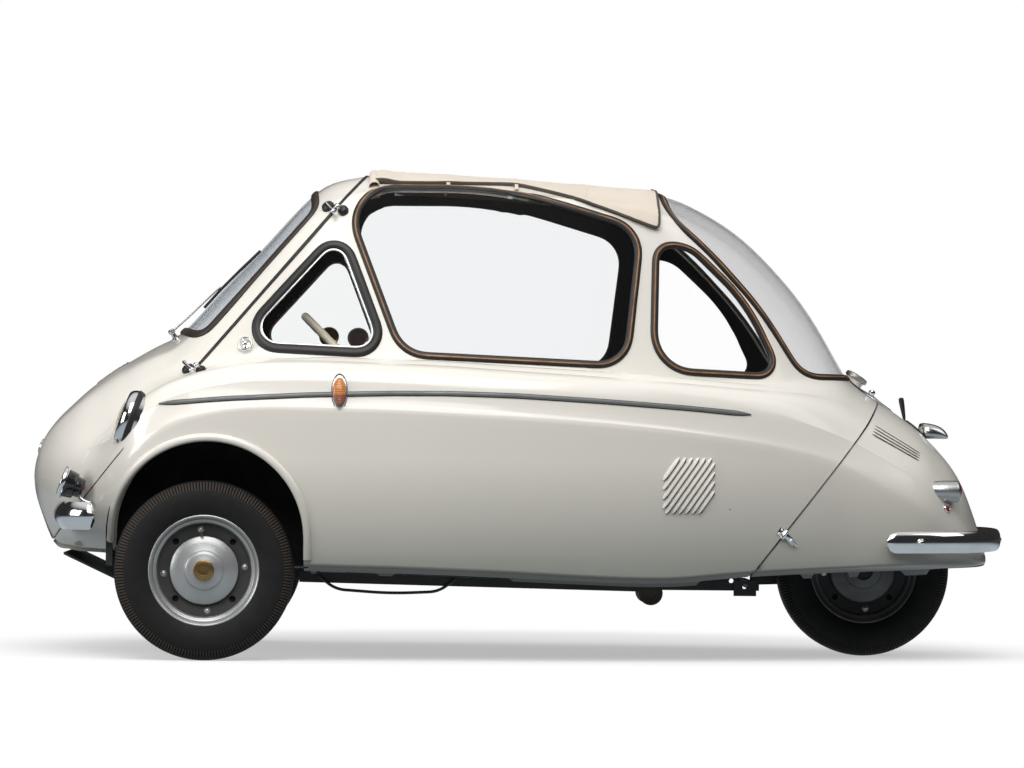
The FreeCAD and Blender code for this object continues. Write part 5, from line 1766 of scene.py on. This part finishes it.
class CAR_OT_fittings(bpy.types.Operator):
    """Fuel filler, tail-cover latches and buffer, nose boss, wiper and the ring catches on the pillars"""

    bl_idname = "bubble_car.fittings"
    bl_label = "Outside Fittings"

    def execute(self, context):
        self.filler()
        self.latches()
        self.small()
        self.wiper()
        return {"FINISHED"}

    @staticmethod
    def filler():
        """A painted neck with a plain metal cap, tipped back."""
        foot, axis = Vector((-892, 0, 712)), Vector((-25, 0, 40)).normalized()
        neck = spun("filler_neck",
                    ((0.01, -16), (33, -16), (28, -4), (25, 4), (24.4, 32), (25.5, 42), (24, 44), (0.01, 44)),
                    foot, axis, 40)
        finished(neck, body_paint(), "body")
        cap = spun("filler_cap", ((0.01, 41), (27, 41), (31.4, 43), (32, 46), (31.6, 52), (29, 54.6),
                                  (20, 56.4), (8, 57), (0.01, 57)), foot, axis, 48, 35)
        finished(cap, dull_metal(), "body", ("fuel_filler",))

    @staticmethod
    def latches():
        """A toggle latch over the tail's shut line, low on each side."""
        place, normal = skin().on_side(-688, 330)
        along = Vector((-0.80, 0, -0.60))
        along = (along - normal * along.dot(normal)).normalized()
        up = normal.cross(along)

        def at(a, b, rise):
            return place / MM + along * a + up * b + normal * rise

        def plate(a0, a1, b0, b1, low, high):
            piece = slab("plate", (a0, b0, low), (a1, b1, high), 1.4, 2)
            turn = Matrix((along, up, normal)).transposed().to_4x4()
            piece.data.transform(Matrix.Translation(place) @ turn)
            return piece

        keep = [plate(-28, -4, -11, 11, -2, 2.6),
                spun("barrel", ((0.01, -13), (4.6, -13), (5.4, -11), (5.4, 11), (4.6, 13), (0.01, 13)),
                     at(-8, 0, 6), up, 20)]
        keep += [dome_bolt(at(-21, s * 6.5, 2.6), normal, 2.6) for s in (-1, 1)]
        keep.append(plate(-10, 16, -7, 7, 5, 9.5))
        keep.append(tube("lever", (at(14, 0, 8), at(24, -1, 10), at(38, -2, 6)), 3.2))
        finished(mirrored(joined("tail_latches", [smooth(k, 40) for k in keep])), chrome(), "body",
                 ("cover_latches",))
        hook = [plate(9, 30, -8, 8, -2, 2.4), dome_bolt(at(24, 0, 2.4), normal, 2.6)]
        finished(mirrored(joined("tail_latch_hooks", hook)), chrome(), "engine_cover")

    @staticmethod
    def small():
        """Rubber buffer, blank nose boss and ring catches."""
        foot, _ = skin().cast((-1.05, 0, 2), (0, 0, -1))
        lean = Vector((0.17, 0, 1))
        buffer = spun("cover_buffer_rubber", ((0.01, -5), (3.2, -5), (3.0, 6), (4.2, 9), (6.8, 42), (7.4, 56),
                                              (6.6, 64), (0.01, 66)), foot / MM, lean, 24)
        finished(buffer, dark_rubber_and_painted_shade(), "engine_cover", ("cover_buffer",))
        place, normal = skin().cast((2, 0, 0.546), (-1, 0, 0))
        boss = spun("nose_boss_plain",
                    ((0.01, 6), (12, 5.4), (19, 3.6), (21, 0.8), (21.5, -2.5), (0.01, -2.5)), place / MM,
                    normal, 40)
        finished(boss, chrome(), "front_door", ("nose_boss",))
        spot, normal = skin().on_side(724, 816)
        radius, thickness = 17.5, 2.6
        section = [(radius + thickness * math.cos(t), thickness * math.sin(t))
                   for t in np.linspace(0, math.tau, 13)]
        catches = [spun("ring", section, spot / MM + normal * 9, normal, 40, 80)]
        catches.append(spun("post", ((0.01, -2), (9.5, -2), (9, 1.5), (4.4, 3), (4, 12), (6.5, 14), (6.5, 17),
                                     (4, 19), (0.01, 19)), spot / MM, normal, 28))
        across = Vector((0.5, 0, 0.87))
        across = (across - normal * across.dot(normal)).normalized()
        catches.append(tube("bar", [spot / MM + normal * 10 + across * t for t in (-17, 0, 17)], 2.2))
        finished(mirrored(joined("pillar_ring_catches", catches)), chrome(), "body",
                 ("pillar_catches",))

    @staticmethod
    def wiper():
        """The wiper: spindle with its milled cap, a sprung arm and a rubber blade resting on the glass."""
        foot, normal = skin().cast((0.921, 0.15, 2), (0, 0, -1))
        spindle = spun("wiper_spindle", ((0.01, -3), (13, -3), (12, 3), (7, 6), (6, 16), (9, 18), (9, 26),
                                         (6, 29), (0.01, 29)), foot / MM, normal, 32, 35)
        tip = foot / MM + normal * 22
        heel, _ = skin().cast((0.80, 0.05, 2), (0, 0, -1))
        reach, up = heel / MM, skin().nearest(heel)[1]
        arm = tube("arm", [tip, tip + Vector((-30, -22, 26)), reach + up * 12, reach + up * 9], 2.4)
        finished(joined("wiper_arm", [spindle, arm]), chrome(), "front_door", ("wiper",))
        line = []
        for t in np.linspace(0, 1, 15):
            spot = Vector((0.845, 0.085, 0)).lerp(Vector((0.70, -0.045, 0)), t)
            line.append(skin().cast((spot.x, spot.y, 2), (0, 0, -1))[0])
        blade = strip("wiper_blade", line,
                      ((-1.0, 0.6), (-2.4, 5), (-1.6, 8.5), (1.6, 8.5), (2.4, 5), (1.0, 0.6)), closed=False,
                      centre=(1.3, 1, 1))
        finished(blade, dark_rubber_and_painted_shade(), "front_door")


# ---------------------------------------------------------------- wheels and tyres
# turned profiles: radius, height outwards from the middle of the tyre
RIM_LOOP = ((144.5, 45), (141, 46.5), (137, 44), (134, 38), (131, 33), (124, 30), (121, 24), (120.5, -24),
            (124, -30), (131, -33), (134, -38), (137, -44), (141, -46.5), (144.5, -45), (143, -42.5),
            (139.5, -42), (136.6, -37), (133.5, -35), (127, -32.5), (123.5, -25), (123.5, 25), (127, 32.5),
            (133.5, 35), (136.6, 37), (139.5, 42), (143, 42.5), (144.5, 45))
DISC_LOOP = ((122, 13), (118, 12), (92, 12), (86, 10), (86, 7), (92, 8.5), (118, 8.5), (122, 10), (122, 13))
BACKING_LOOP = ((121, 2), (84, 2), (84, 0), (121, 0), (121, 2))
COVER_LOOP = ((88, 8), (88.3, 16), (88.5, 19), (87.6, 22.4), (85, 24.4), (70, 29), (55, 32.6), (51.5, 34),
              (50, 36.4), (48, 38), (40, 40), (34, 41.4), (29, 43), (27, 43.5), (25.5, 42), (34, 38.8),
              (47, 35.4), (49, 33), (54, 30.4), (69, 26.4), (84.4, 21.6), (85.4, 16), (85.4, 8), (88, 8))
HUB_LOOP = ((14.6, -24), (60, -24), (64, -8), (70, 6), (86, 6), (86, 9), (60, 14), (30, 36), (14.6, 36),
            (14.6, -24))
CAP_PROFILE = ((27.2, 40), (27.2, 49.4), (26.4, 51.4), (24.6, 52.2), (14.6, 52.6), (13.4, 51.4), (12.6, 47),
               (0.01, 46))
TYRE_HALF = ((134, 36), (136, 39.4), (139, 42.6), (143, 45.6), (146, 47), (152, 50.2), (160, 53), (169, 55.2),
             (178, 56), (186, 56.2), (192, 56), (198, 55), (203, 54), (206, 53), (207.4, 52.4), (210, 51.6),
             (213, 50.4), (216, 48.6), (220, 46), (223, 43.5), (226, 40.6), (228, 37.6), (229.4, 34.6),
             (230.6, 31.4), (231.5, 28), (232, 24), (232, 21), (228, 20.4), (228, 18), (232, 17.4), (232, 8),
             (228, 7.4), (228, 4.6), (232, 4), (232, 0.6))
RIB_BAND = (206.5, 229)
RIB_COUNT = 176
WHEEL_PLACES = (("front_left", (823, 610, 232), LEFT), ("front_right", (823, -610, 232), RIGHT),
                ("rear", (-937, 0, 232), LEFT))


class CAR_OT_wheels(bpy.types.Operator):
    """Three disc wheels with covers and caps, and their ribbed tyres"""

    bl_idname = "bubble_car.wheels"
    bl_label = "Wheels and Tyres"

    def execute(self, context):
        silver, black, gold = wheel_enamel(), black_enamel_and_painted_shade(), brass()
        kinds = {"rim": (self.turned("rim", RIM_LOOP, 96), silver, "wheel_silver"),
                 # the wheel disc is painted black as painted shade behind the cover
                 "wheel_disc": (self.disc(), black, "wheel_silver"),
                 "backing_plate": (self.turned("backing", BACKING_LOOP, 64), dark_well(), "black_paint"),
                 "wheel_bolts": (self.bolts(), dull_metal(), "bare_metal"),
                 "hub_cover": (self.turned("cover", COVER_LOOP, 96), silver, "wheel_silver"),
                 "hub": (self.turned("hub", HUB_LOOP, 64), black, "black_paint"),
                 "centre_cap": (self.turned("cap", CAP_PROFILE, 48), gold, "bare_metal"),
                 "valve": (self.valve(), gold, "bare_metal"),
                 "tyre": (self.tyre(), tyre_rubber(), "tyre_rubber")}
        for stem, place, side in WHEEL_PLACES:
            for kind, (template, material, slot) in kinds.items():
                if stem == "rear":
                    if kind == "centre_cap":
                        continue
                    # the rear wheel's rim and cover take a darker silver as painted shade
                    material = shaded_rear_wheel_silver() if kind in ("rim", "hub_cover") else material
                piece = set_on(copy_of(template, f"{stem}_{kind}"), place, (0, side, 0), (0, 0, 1))
                nodes = {"rim": (stem + "_wheel",), "tyre": (stem + "_tyre",)}.get(kind, ())
                finished(piece, material, stem + "_wheel", nodes)
        removed(*[template for template, _, _ in kinds.values()])
        return {"FINISHED"}

    @staticmethod
    def turned(name, profile, segments):
        """A turned piece round Z at the origin."""
        return spun(name, profile, (0, 0, 0), (0, 0, 1), segments, 32)

    def disc(self):
        """The dished disc behind the cover with its four round holes."""
        plate = self.turned("disc", DISC_LOOP, 96)
        for number in range(4):
            angle = math.tau * (number + 0.5) / 4
            hole = lathe("hole", ((0.01, 0), (8.5, 0), (8.5, 30), (0.01, 30)),
                         (104 * math.cos(angle), 104 * math.sin(angle), 0), (0, 0, 1), 24)
            carve(plate, hole)
        return smooth(plate, 32)

    @staticmethod
    def bolts():
        """Four dome-headed bolts between the holes."""
        turns = [math.tau * number / 4 + math.radians(5) for number in range(4)]
        heads = [dome_bolt((105 * math.cos(t), 105 * math.sin(t), 12), (0, 0, 1), 6.6, 6) for t in turns]
        return joined("bolts", heads)

    @staticmethod
    def valve():
        """The tyre valve with its small cap at the edge of the cover."""
        return spun("valve", ((0.01, 8), (4, 8), (4, 22), (3, 23), (3, 27), (4.2, 28), (4.2, 33), (3.2, 35),
                              (0.01, 35)), (93, 6, 0), (0, 0, 1), 20)

    @staticmethod
    def tyre():
        """A tyre with plain walls, two tread grooves and fine ribs round each shoulder."""
        half = list(TYRE_HALF)
        loop = half + [(r, -h) for r, h in reversed(half)] + [(129.6, -33), (129.6, 33)]
        steps = RIB_COUNT * 3
        radius, height = (np.array([p[i] for p in loop], float) for i in (0, 1))
        along = np.roll(np.stack([radius, height], 1), -1, 0) - np.roll(np.stack([radius, height], 1), 1, 0)
        normal = np.stack([along[:, 1], -along[:, 0]], 1) / np.linalg.norm(along, axis=1)[:, None]
        if ((radius - radius.mean()) * normal[:, 0]).sum() < 0:
            normal = -normal
        banded = (radius > RIB_BAND[0]) & (radius < RIB_BAND[1]) & (np.abs(height) > 36)
        points, ribs, slots = [], [], []
        for step in range(steps):
            angle = math.tau * step / steps
            low = step % 3 == 2
            sink = np.where(banded & low, 2.2, 0.0)
            r, h = radius - normal[:, 0] * sink, height - normal[:, 1] * sink
            points += [(a * math.cos(angle) * MM, a * math.sin(angle) * MM, b * MM) for a, b in zip(r, h)]
            ribs += [float(b and not low) for b in banded]
            slots += [float(b and low) for b in banded]
        obj = from_points("tyre", points, grid_faces(steps, len(loop), looped=True, flip=True))
        # slot marks the sunken slots, which the tyre finish darkens as painted shade
        for name, values in (("rib", ribs), ("slot", slots)):
            obj.data.attributes.new(name, "FLOAT", "POINT").data.foreach_set("value", values)
        pick(obj)
        bpy.ops.object.mode_set(mode="EDIT")
        bpy.ops.mesh.select_all(action="SELECT")
        bpy.ops.mesh.normals_make_consistent(inside=False)
        bpy.ops.object.mode_set(mode="OBJECT")
        return smooth(obj, 30)


def shaded_rear_wheel_silver():
    """Silver enamel darkened as painted shade for the rear wheel under the tail."""
    return finish("Dusty Wheel Silver", (0.20, 0.20, 0.195), 0.5, metallic=0.35, patches=0.2, scale=14.0,
                  fine=500.0, bump=0.2)


# ---------------------------------------------------------------- cabin and running gear
STEERING_CENTRE = Vector((448, 250, 771))
STEERING_AXIS = Vector((-1, 0, 1)).normalized()
# frame nodes that keep their own shape: name and finish
PLAIN_NODES = (("seat_frame", "black"), ("steering_column", "black"), ("pedals", "black"),
               ("hand_levers", "bright"), ("rear_bulkhead", "shaded_lining"), ("swing_arm", "black"),
               ("chassis_frame", "black"), ("front_suspension", "black"), ("knuckle_left", "black"),
               ("knuckle_right", "black"), ("brake_pipe", "black"))
CLOTH_FRAMES = 20


def padded(name, low, high, lean=0.0, pivot=(0, 0), swell=22.0, node=(), channels=9):
    """A seat cushion: a soft block blown up as cloth, with sewn channels over its face and piping round it.

    low and high are its corners in millimetres, lean turns it about the car's width at pivot x, z.
    """
    inset = 9
    block = slab(name, [v + inset for v in low], [v - inset for v in high], 26, 4)
    applied(block, "REMESH", mode="VOXEL", voxel_size=0.006)
    start = np.array([v.co[:] for v in block.data.vertices])
    pick(block)
    cloth = block.modifiers.new("Cloth", "CLOTH")
    cloth.settings.use_pressure = True
    cloth.settings.uniform_pressure_force = 4.0
    cloth.settings.effector_weights.gravity = 0.0
    cloth.point_cache.frame_start, cloth.point_cache.frame_end = 1, CLOTH_FRAMES
    for frame_number in range(1, CLOTH_FRAMES + 1):
        bpy.context.scene.frame_set(frame_number)
    shaped = block.evaluated_get(bpy.context.evaluated_depsgraph_get()).to_mesh()
    end = np.array([v.co[:] for v in shaped.vertices])
    block.modifiers.remove(cloth)
    bpy.context.scene.frame_set(1)
    move = end - start
    reach = np.linalg.norm(move, axis=1)
    cap = swell * MM
    move *= np.where(reach > cap, cap / np.maximum(reach, 1e-9), 1.0)[:, None]
    block.data.vertices.foreach_set("co", (start + move).ravel())
    block.data.update()
    applied(block, "SMOOTH", factor=0.5, iterations=6)
    face_side = np.array([v.co[:] for v in block.data.vertices])
    width = (high[1] - low[1]) / channels * MM
    middle_z = (low[2] + high[2]) / 2 * MM
    for i, (x, y, z) in enumerate(face_side):
        if z > middle_z:
            across = (y - low[1] * MM) / width
            gap = abs(across - round(across)) * width
            depth = 5.0 * MM * math.exp(-(gap / 0.006) ** 2)
            edge = min(x - low[0] * MM, high[0] * MM - x, y - low[1] * MM, high[1] * MM - y)
            face_side[i, 2] -= depth * min(1.0, max(0.0, (edge - 0.03) / 0.03))
    low_bound, high_bound = np.array(low) * MM, np.array(high) * MM
    face_side = np.clip(face_side, low_bound, high_bound)
    block.data.vertices.foreach_set("co", face_side.ravel())
    block.data.update()
    applied(block, "SUBSURF", levels=1, render_levels=1)
    margin = 14
    left, right, near, far = low[0] + margin, high[0] - margin, low[1] + margin, high[1] - margin
    outline = rounded_loop([(left, near), (right, near), (right, far), (left, far)], 34)
    piping = tube(name + "_piping", [(x, y, high[2] - 16) for x, y in outline], 4.2, closed=True,
                  resolution=3)
    for piece in (block, piping):
        if lean:
            centre = Vector((pivot[0], 0, pivot[1])) * MM
            piece.data.transform(Matrix.Translation(centre) @ Matrix.Rotation(math.radians(lean), 4, "Y") @
                                 Matrix.Translation(-centre))
    smooth(block, 60)
    finished(block, seat_cloth(), "body", node)
    finished(smooth(piping, 60), finish("Seat Piping", (0.62, 0.58, 0.50), 0.6, patches=0.08, bump=0.2),
             "body")
    return block


def rounded_loop(corners, radius):
    """Points round a polygon whose corners are rounded to a radius, in the plane."""
    size = min((Vector(a) - Vector(b)).length for a, b in zip(corners, corners[1:]))
    return [tuple(p) for p in rounded_outline([(x, y, radius / size) for x, y in corners], 6)]


class CAR_OT_cabin(bpy.types.Operator):
    """Padded seats with piping, a rubber floor mat and the small round plates on the right window"""

    bl_idname = "bubble_car.cabin"
    bl_label = "Cabin"

    def execute(self, context):
        padded("front_seat_cushion", (-88, -462, 302), (394, 462, 442), node=("front_seat",))
        padded("front_seat_back", (-95, -462, 644), (225, 462, 742), lean=74, pivot=(-95, 742))
        padded("rear_seat_cushion", (-612, -314, 614), (-350, 314, 688), swell=12, node=("rear_seat",),
               channels=6)
        mat = slab("floor_mat", (-250, -430, 247), (560, 430, 253), 2.5, 2)
        ribs = [slab("rib", (-230, y - 5, 252), (540, y + 5, 255.5), 1.5, 2) for y in range(-400, 401, 40)]
        rubber = finish("Mat Rubber", (0.045, 0.042, 0.04), 0.8, patches=0.2, scale=10.0, bump=0.6)
        finished(smooth(joined("floor_mat", [mat] + ribs), 40), rubber, "body")
        plates = ((520, 862, 27, brass()), (438, 859, 29, dull_metal()))
        for number, (x, z, radius, look) in enumerate(plates):
            spot, normal = skin().on_side(x, z, RIGHT)
            disc = lathe(f"window_plate_{number}",
                         ((0.01, 0), (radius, 0), (radius + 1, 1.2), (radius, 2.6), (radius - 3, 3.4),
                          (radius - 5, 2.2), (6, 2.8), (0.01, 2.8)), spot / MM - normal * 6, -normal, 48)
            finished(smooth(disc, 30), look, "body")
        return {"FINISHED"}


class CAR_OT_steering(bpy.types.Operator):
    """The ivory steering wheel with a grooved rim, three flat spokes and a horn button"""

    bl_idname = "bubble_car.steering"
    bl_label = "Steering Wheel"

    def execute(self, context):
        centre, axis = STEERING_CENTRE, STEERING_AXIS
        side = Vector((0, 1, 0))
        count, around = 144, 20
        points = []
        for i in range(count):
            turn = math.tau * i / count
            out = side * math.cos(turn) + axis.cross(side) * math.sin(turn)
            grip = 10.9 - (1.3 if i % 6 == 0 and math.sin(turn) < 0.2 else 0.0)
            points += [(centre + out * (179 + grip * math.cos(t)) + axis * (grip * math.sin(t))) * MM
                       for t in np.linspace(0, math.tau, around, endpoint=False)]
        faces = grid_faces(count, around, looped=True, flip=True)
        rim = smooth(outwards(from_points("rim", points, faces)), 70)
        spokes = []
        for angle in (90, 210, 330):
            turn = math.radians(angle)
            out = side * math.cos(turn) + axis.cross(side) * math.sin(turn)
            spoke = slab("spoke", (20, -9, -3), (176, 9, 3), 2.6, 3)
            spoke.data.transform(Matrix.Translation(centre * MM)
                                 @ Matrix((out, axis.cross(out), axis)).transposed().to_4x4())
            spokes.append(smooth(spoke, 40))
        hub = spun("hub", ((0.01, -15), (24, -15), (28, -10), (28, 4), (38, 7), (40, 11), (36, 15), (20, 18),
                           (0.01, 18.6)), centre, axis, 48, 35)
        ivory = finish("Ivory Plastic", (0.66, 0.60, 0.47), 0.3, patches=0.06, scale=14.0, Coat_Weight=0.4)
        finished(joined("steering_wheel_rim", [rim, hub] + spokes), ivory, "steering_wheel",
                 ("steering_wheel",))
        button = spun("horn_button", ((14, 18), (15, 20), (13, 22), (6, 23.4), (0.01, 23.6)), centre, axis,
                      36, 35)
        finished(button, chrome(), "steering_wheel")
        return {"FINISHED"}


class CAR_OT_running_gear(bpy.types.Operator):
    """Finishes for the frame's own parts, and the engine and silencer in more detail"""

    bl_idname = "bubble_car.running_gear"
    bl_label = "Engine and Running Gear"

    def execute(self, context):
        looks = {"black": black_enamel_and_painted_shade(), "bright": dull_metal(), "shaded_lining": shaded_lining()}
        for name, look in PLAIN_NODES:
            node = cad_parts[name]
            node.data.materials.clear()
            node.data.materials.append(looks[look])
        self.engine()
        self.silencer()
        return {"FINISHED"}

    @staticmethod
    def engine():
        """A small fan-cooled single: crankcase, finned barrel and head, fan housing and carburettor."""
        case = slab("case", (-625, -120, 244), (-420, 110, 392), 26, 5)
        cover = lathe("cover", ((0.01, 0), (78, 0), (84, 6), (84, 20), (74, 32), (40, 36), (0.01, 37)),
                      (-520, 108, 318), (0, 1, 0), 56)
        gearbox = slab("gearbox", (-628, -190, 262), (-540, -110, 350), 18, 4)
        fins = [slab("fin", (-600, -74, 394 + 11 * k), (-458, 66, 398.5 + 11 * k), 1.2, 1) for k in range(10)]
        barrel = lathe("barrel", ((0.01, 388), (50, 388), (50, 512), (0.01, 512)), (-529, -4, 0), (0, 0, 1),
                       40)
        head = slab("head", (-592, -66, 506), (-466, 58, 530), 10, 3)
        alloy = finish("Cast Alloy", (0.33, 0.33, 0.32), 0.55, metallic=0.8, patches=0.2, scale=12.0,
                       fine=300.0, bump=0.7)
        body = joined("engine_block", [smooth(p, 35) for p in [case, cover, gearbox, barrel, head] + fins])
        finished(body, alloy, "body", ("engine",))
        housing = lathe("fan_housing",
                        ((0.01, 0), (30, 0), (34, 4), (88, 4), (100, 14), (100, 58), (90, 68), (0.01, 68)),
                        (-508, 66, 430), (0, 1, 0), 64)
        duct = slab("duct", (-606, 62, 440), (-510, 128, 534), 16, 4)
        shroud = joined("engine_fan_housing", [smooth(housing, 35), smooth(duct, 35)])
        finished(shroud, black_enamel_and_painted_shade(), "body")
        bowl = lathe("carburettor", ((0.01, 0), (20, 0), (24, 4), (24, 44), (16, 52), (16, 74), (0.01, 76)),
                     (-430, -110, 400), (0, 0, 1), 32)
        horn = lathe("intake", ((18, 0), (20, 2), (24, 30), (34, 44), (32, 44), (20, 6), (18, 0)),
                     (-430, -128, 446), (0, -1, 0), 32)
        finished(joined("carburettor", [smooth(bowl, 35), smooth(horn, 35)]), dull_metal(), "body")

    @staticmethod
    def silencer():
        """A drum with folded end seams, a strap and its pipe."""
        drum = lathe("silencer_drum", ((0.01, 4), (20, 3), (28, 0), (32, 0), (32, 4), (30, 6), (30, 92),
                                       (31.4, 93), (31.4, 103), (30, 104), (30, 184), (32, 186), (32, 190),
                                       (28, 190), (20, 187), (0.01, 186)), (-352, 36, 170), (0, 1, 0), 56)
        pipe = tube("pipe", ((-362, 120, 190), (-362, 120, 215), (-372, 112, 240), (-410, 90, 248)), 12)
        rust = finish("Heated Steel", (0.10, 0.085, 0.075), 0.7, metallic=0.5, patches=0.3, scale=16.0,
                      fine=240.0, bump=0.9, other=(0.14, 0.07, 0.035))
        finished(joined("silencer_drum", [smooth(drum, 35), smooth(pipe, 50)]), rust, "body",
                 ("silencer",))


# ---------------------------------------------------------------- stage
# the camera: its place in metres, the way it looks, its lean in radians and its lens in millimetres
CAMERA_PLACE = (0.364, 13.41, 0.583)
CAMERA_AIM = (-0.025853, -1, 0.010705)
CAMERA_LEAN = 0.00942
LENS_LENGTH = 174.06


def seen_directly(tree, path):
    """White where the camera looks straight or through glass, from a Light Path node."""
    return math_node(tree, "ADD", path.outputs["Is Camera Ray"], path.outputs["Is Transmission Ray"],
                     clamp=True)


class CAR_OT_stage(bpy.types.Operator):
    """Pale floor and soft studio light, with the camera on the car's left side"""

    bl_idname = "bubble_car.stage"
    bl_label = "Stage"

    def execute(self, context):
        scene = context.scene
        scene.view_settings.view_transform = "Standard"
        self.world(scene)
        self.floor()
        # columns: name | place | target | side in metres | watts | colour
        for name, place, target, size, power, color in (
            ("key softbox", (0.6, 4.2, 4.7), (0, 0.2, 0.6), 4.2, 225, (1, 0.99, 0.97)),
            ("front fill", (1.5, 8.0, 4.6), (0, 0, 0.6), 4.0, 8, (1, 1, 1)),
            ("nose light", (6.0, 3.0, 2.2), (0.6, 0, 0.5), 3.0, 150, (1, 1, 1)),
            ("tail light", (-4.5, 2.5, 4.5), (-0.8, 0, 0.6), 3.0, 50, (1, 1, 1)),
        ):
            lamp = bpy.data.lights.new(name, "AREA")
            lamp.shape, lamp.size, lamp.energy, lamp.color = "SQUARE", size, power, color
            holder = bpy.data.objects.new(name, lamp)
            scene.collection.objects.link(holder)
            holder.location = place
            holder.rotation_euler = (Vector(target) - Vector(place)).to_track_quat("-Z", "Y").to_euler()
        self.camera(scene)
        return {"FINISHED"}

    @staticmethod
    def world(scene):
        """White for the camera, a dim room with a bright ceiling to mirror, and a soft gradient as light."""
        world = bpy.data.worlds.new("Studio")
        world.use_nodes = True
        tree = world.node_tree
        tree.nodes.clear()
        output = tree.nodes.new("ShaderNodeOutputWorld")
        soft = set_inputs(add(tree, "Background"), Color=(0.985, 0.99, 1.0, 1))
        plain = set_inputs(add(tree, "Background"), Color=(1, 1, 1, 1), Strength=1.0)
        room, path, up = add(tree, "Background"), add(tree, "LightPath"), split_place(tree, "Generated")["Z"]
        tree.links.new(ranged(tree, up, 0.05, 0.95, 0.03, 1.10), soft.inputs["Strength"])
        tree.links.new(ranged(tree, up, 0.62, 0.85, 0.035, 1.0), room.inputs["Strength"])
        mirrors = blended(tree, path.outputs["Is Glossy Ray"], soft.outputs[0], room.outputs[0])
        tree.links.new(blended(tree, seen_directly(tree, path), mirrors, plain.outputs[0]), output.inputs[0])
        scene.world = world

    @staticmethod
    def floor():
        """A wide floor: shaded near the car, white further out and blue-grey in reflections."""
        clear_selection()
        bpy.ops.mesh.primitive_circle_add(vertices=96, radius=60, fill_type="NGON", location=(0, 0, 0))
        floor = bpy.context.object
        floor.name = floor.data.name = "studio_floor"
        material = bpy.data.materials.new("Studio Floor")
        material.use_nodes = True
        tree = material.node_tree
        shader = set_inputs(shader_of(material), Roughness=0.9, Specular_IOR_Level=0.1)
        path, place = add(tree, "LightPath"), add(tree, "TexCoord")
        seen = seen_directly(tree, path)
        tone = set_inputs(add(tree, "Mix", data_type="RGBA"), A=(0.09, 0.09, 0.088, 1),
                          B=(0.86, 0.86, 0.86, 1))
        tree.links.new(seen, tone.inputs["Factor"])
        tree.links.new(tone.outputs["Result"], shader.inputs["Base Color"])
        far = add(tree, "VectorMath", operation="LENGTH")
        tree.links.new(place.outputs["Object"], far.inputs[0])
        distance, eased = far.outputs["Value"], {"interpolation_type": "SMOOTHSTEP"}
        whiter = math_node(tree, "MULTIPLY", seen, ranged(tree, distance, 1.25, 1.8, 0.45, 1.0, **eased))
        white = set_inputs(add(tree, "Emission"), Strength=1.0)
        pale = set_inputs(add(tree, "Emission"), Color=(0.44, 0.50, 0.54, 1))
        tree.links.new(ranged(tree, distance, 1.8, 9.0, 1.0, 0.1, **eased), pale.inputs["Strength"])
        surface = blended(tree, whiter, shader.outputs[0], white.outputs[0])
        tree.links.new(blended(tree, path.outputs["Is Glossy Ray"], surface, pale.outputs[0]),
                       output_of(material))
        floor.data.materials.append(material)

    @staticmethod
    def camera(scene):
        """A long lens low on the car's left, leaning a hair so the ground line drops to the right."""
        lens = bpy.data.cameras.new("side view")
        lens.lens, lens.sensor_width, lens.clip_end = LENS_LENGTH, 36, 200
        holder = bpy.data.objects.new("side view", lens)
        scene.collection.objects.link(holder)
        ahead = Vector(CAMERA_AIM).normalized()
        level = ahead.cross(Vector((0, 0, 1))).normalized()
        upright = level.cross(ahead)
        right = level * math.cos(CAMERA_LEAN) + upright * math.sin(CAMERA_LEAN)
        up = right.cross(ahead)
        turn = Matrix((right, up, -ahead)).transposed().to_4x4()
        holder.matrix_world = Matrix.Translation(CAMERA_PLACE) @ turn
        scene.camera = holder


class CAR_PT_parts(bpy.types.Panel):
    """Lists the car's parts"""

    bl_idname = "CAR_PT_parts"
    bl_label = "Bubble Car"
    bl_space_type = "VIEW_3D"
    bl_region_type = "UI"
    bl_category = "Bubble Car"

    def draw(self, context):
        column = self.layout.column(align=True)
        for group in (context.scene.car_sizes, context.scene.car_finishes):
            for name in group.__annotations__:
                column.prop(group, name)
        for operator in OPERATORS:
            column.operator(operator.bl_idname)


OPERATORS = (CAR_OT_panels, CAR_OT_glass, CAR_OT_roof, CAR_OT_arches, CAR_OT_waist, CAR_OT_vents,
             CAR_OT_hinges, CAR_OT_headlamps, CAR_OT_front_lamps, CAR_OT_small_lamps, CAR_OT_bumpers,
             CAR_OT_fittings, CAR_OT_wheels, CAR_OT_cabin, CAR_OT_steering, CAR_OT_running_gear, CAR_OT_stage)
CLASSES = (CarSizes, CarFinishes, *OPERATORS, CAR_PT_parts)


def register():
    """Registers the settings, the operators and the panel."""
    for item in CLASSES:
        bpy.utils.register_class(item)
    bpy.types.Scene.car_sizes = bpy.props.PointerProperty(type=CarSizes)
    bpy.types.Scene.car_finishes = bpy.props.PointerProperty(type=CarFinishes)


def unregister():
    """Takes them away again."""
    del bpy.types.Scene.car_finishes
    del bpy.types.Scene.car_sizes
    for item in reversed(CLASSES):
        bpy.utils.unregister_class(item)


def main():
    """Makes every part in order and removes the uncut body surface."""
    register()
    for operator in OPERATORS:
        group, name = operator.bl_idname.split(".")
        getattr(getattr(bpy.ops, group), name)()
    if "surface" in WORK:
        removed(WORK.pop("surface"))


if __name__ == "__main__":
    main()
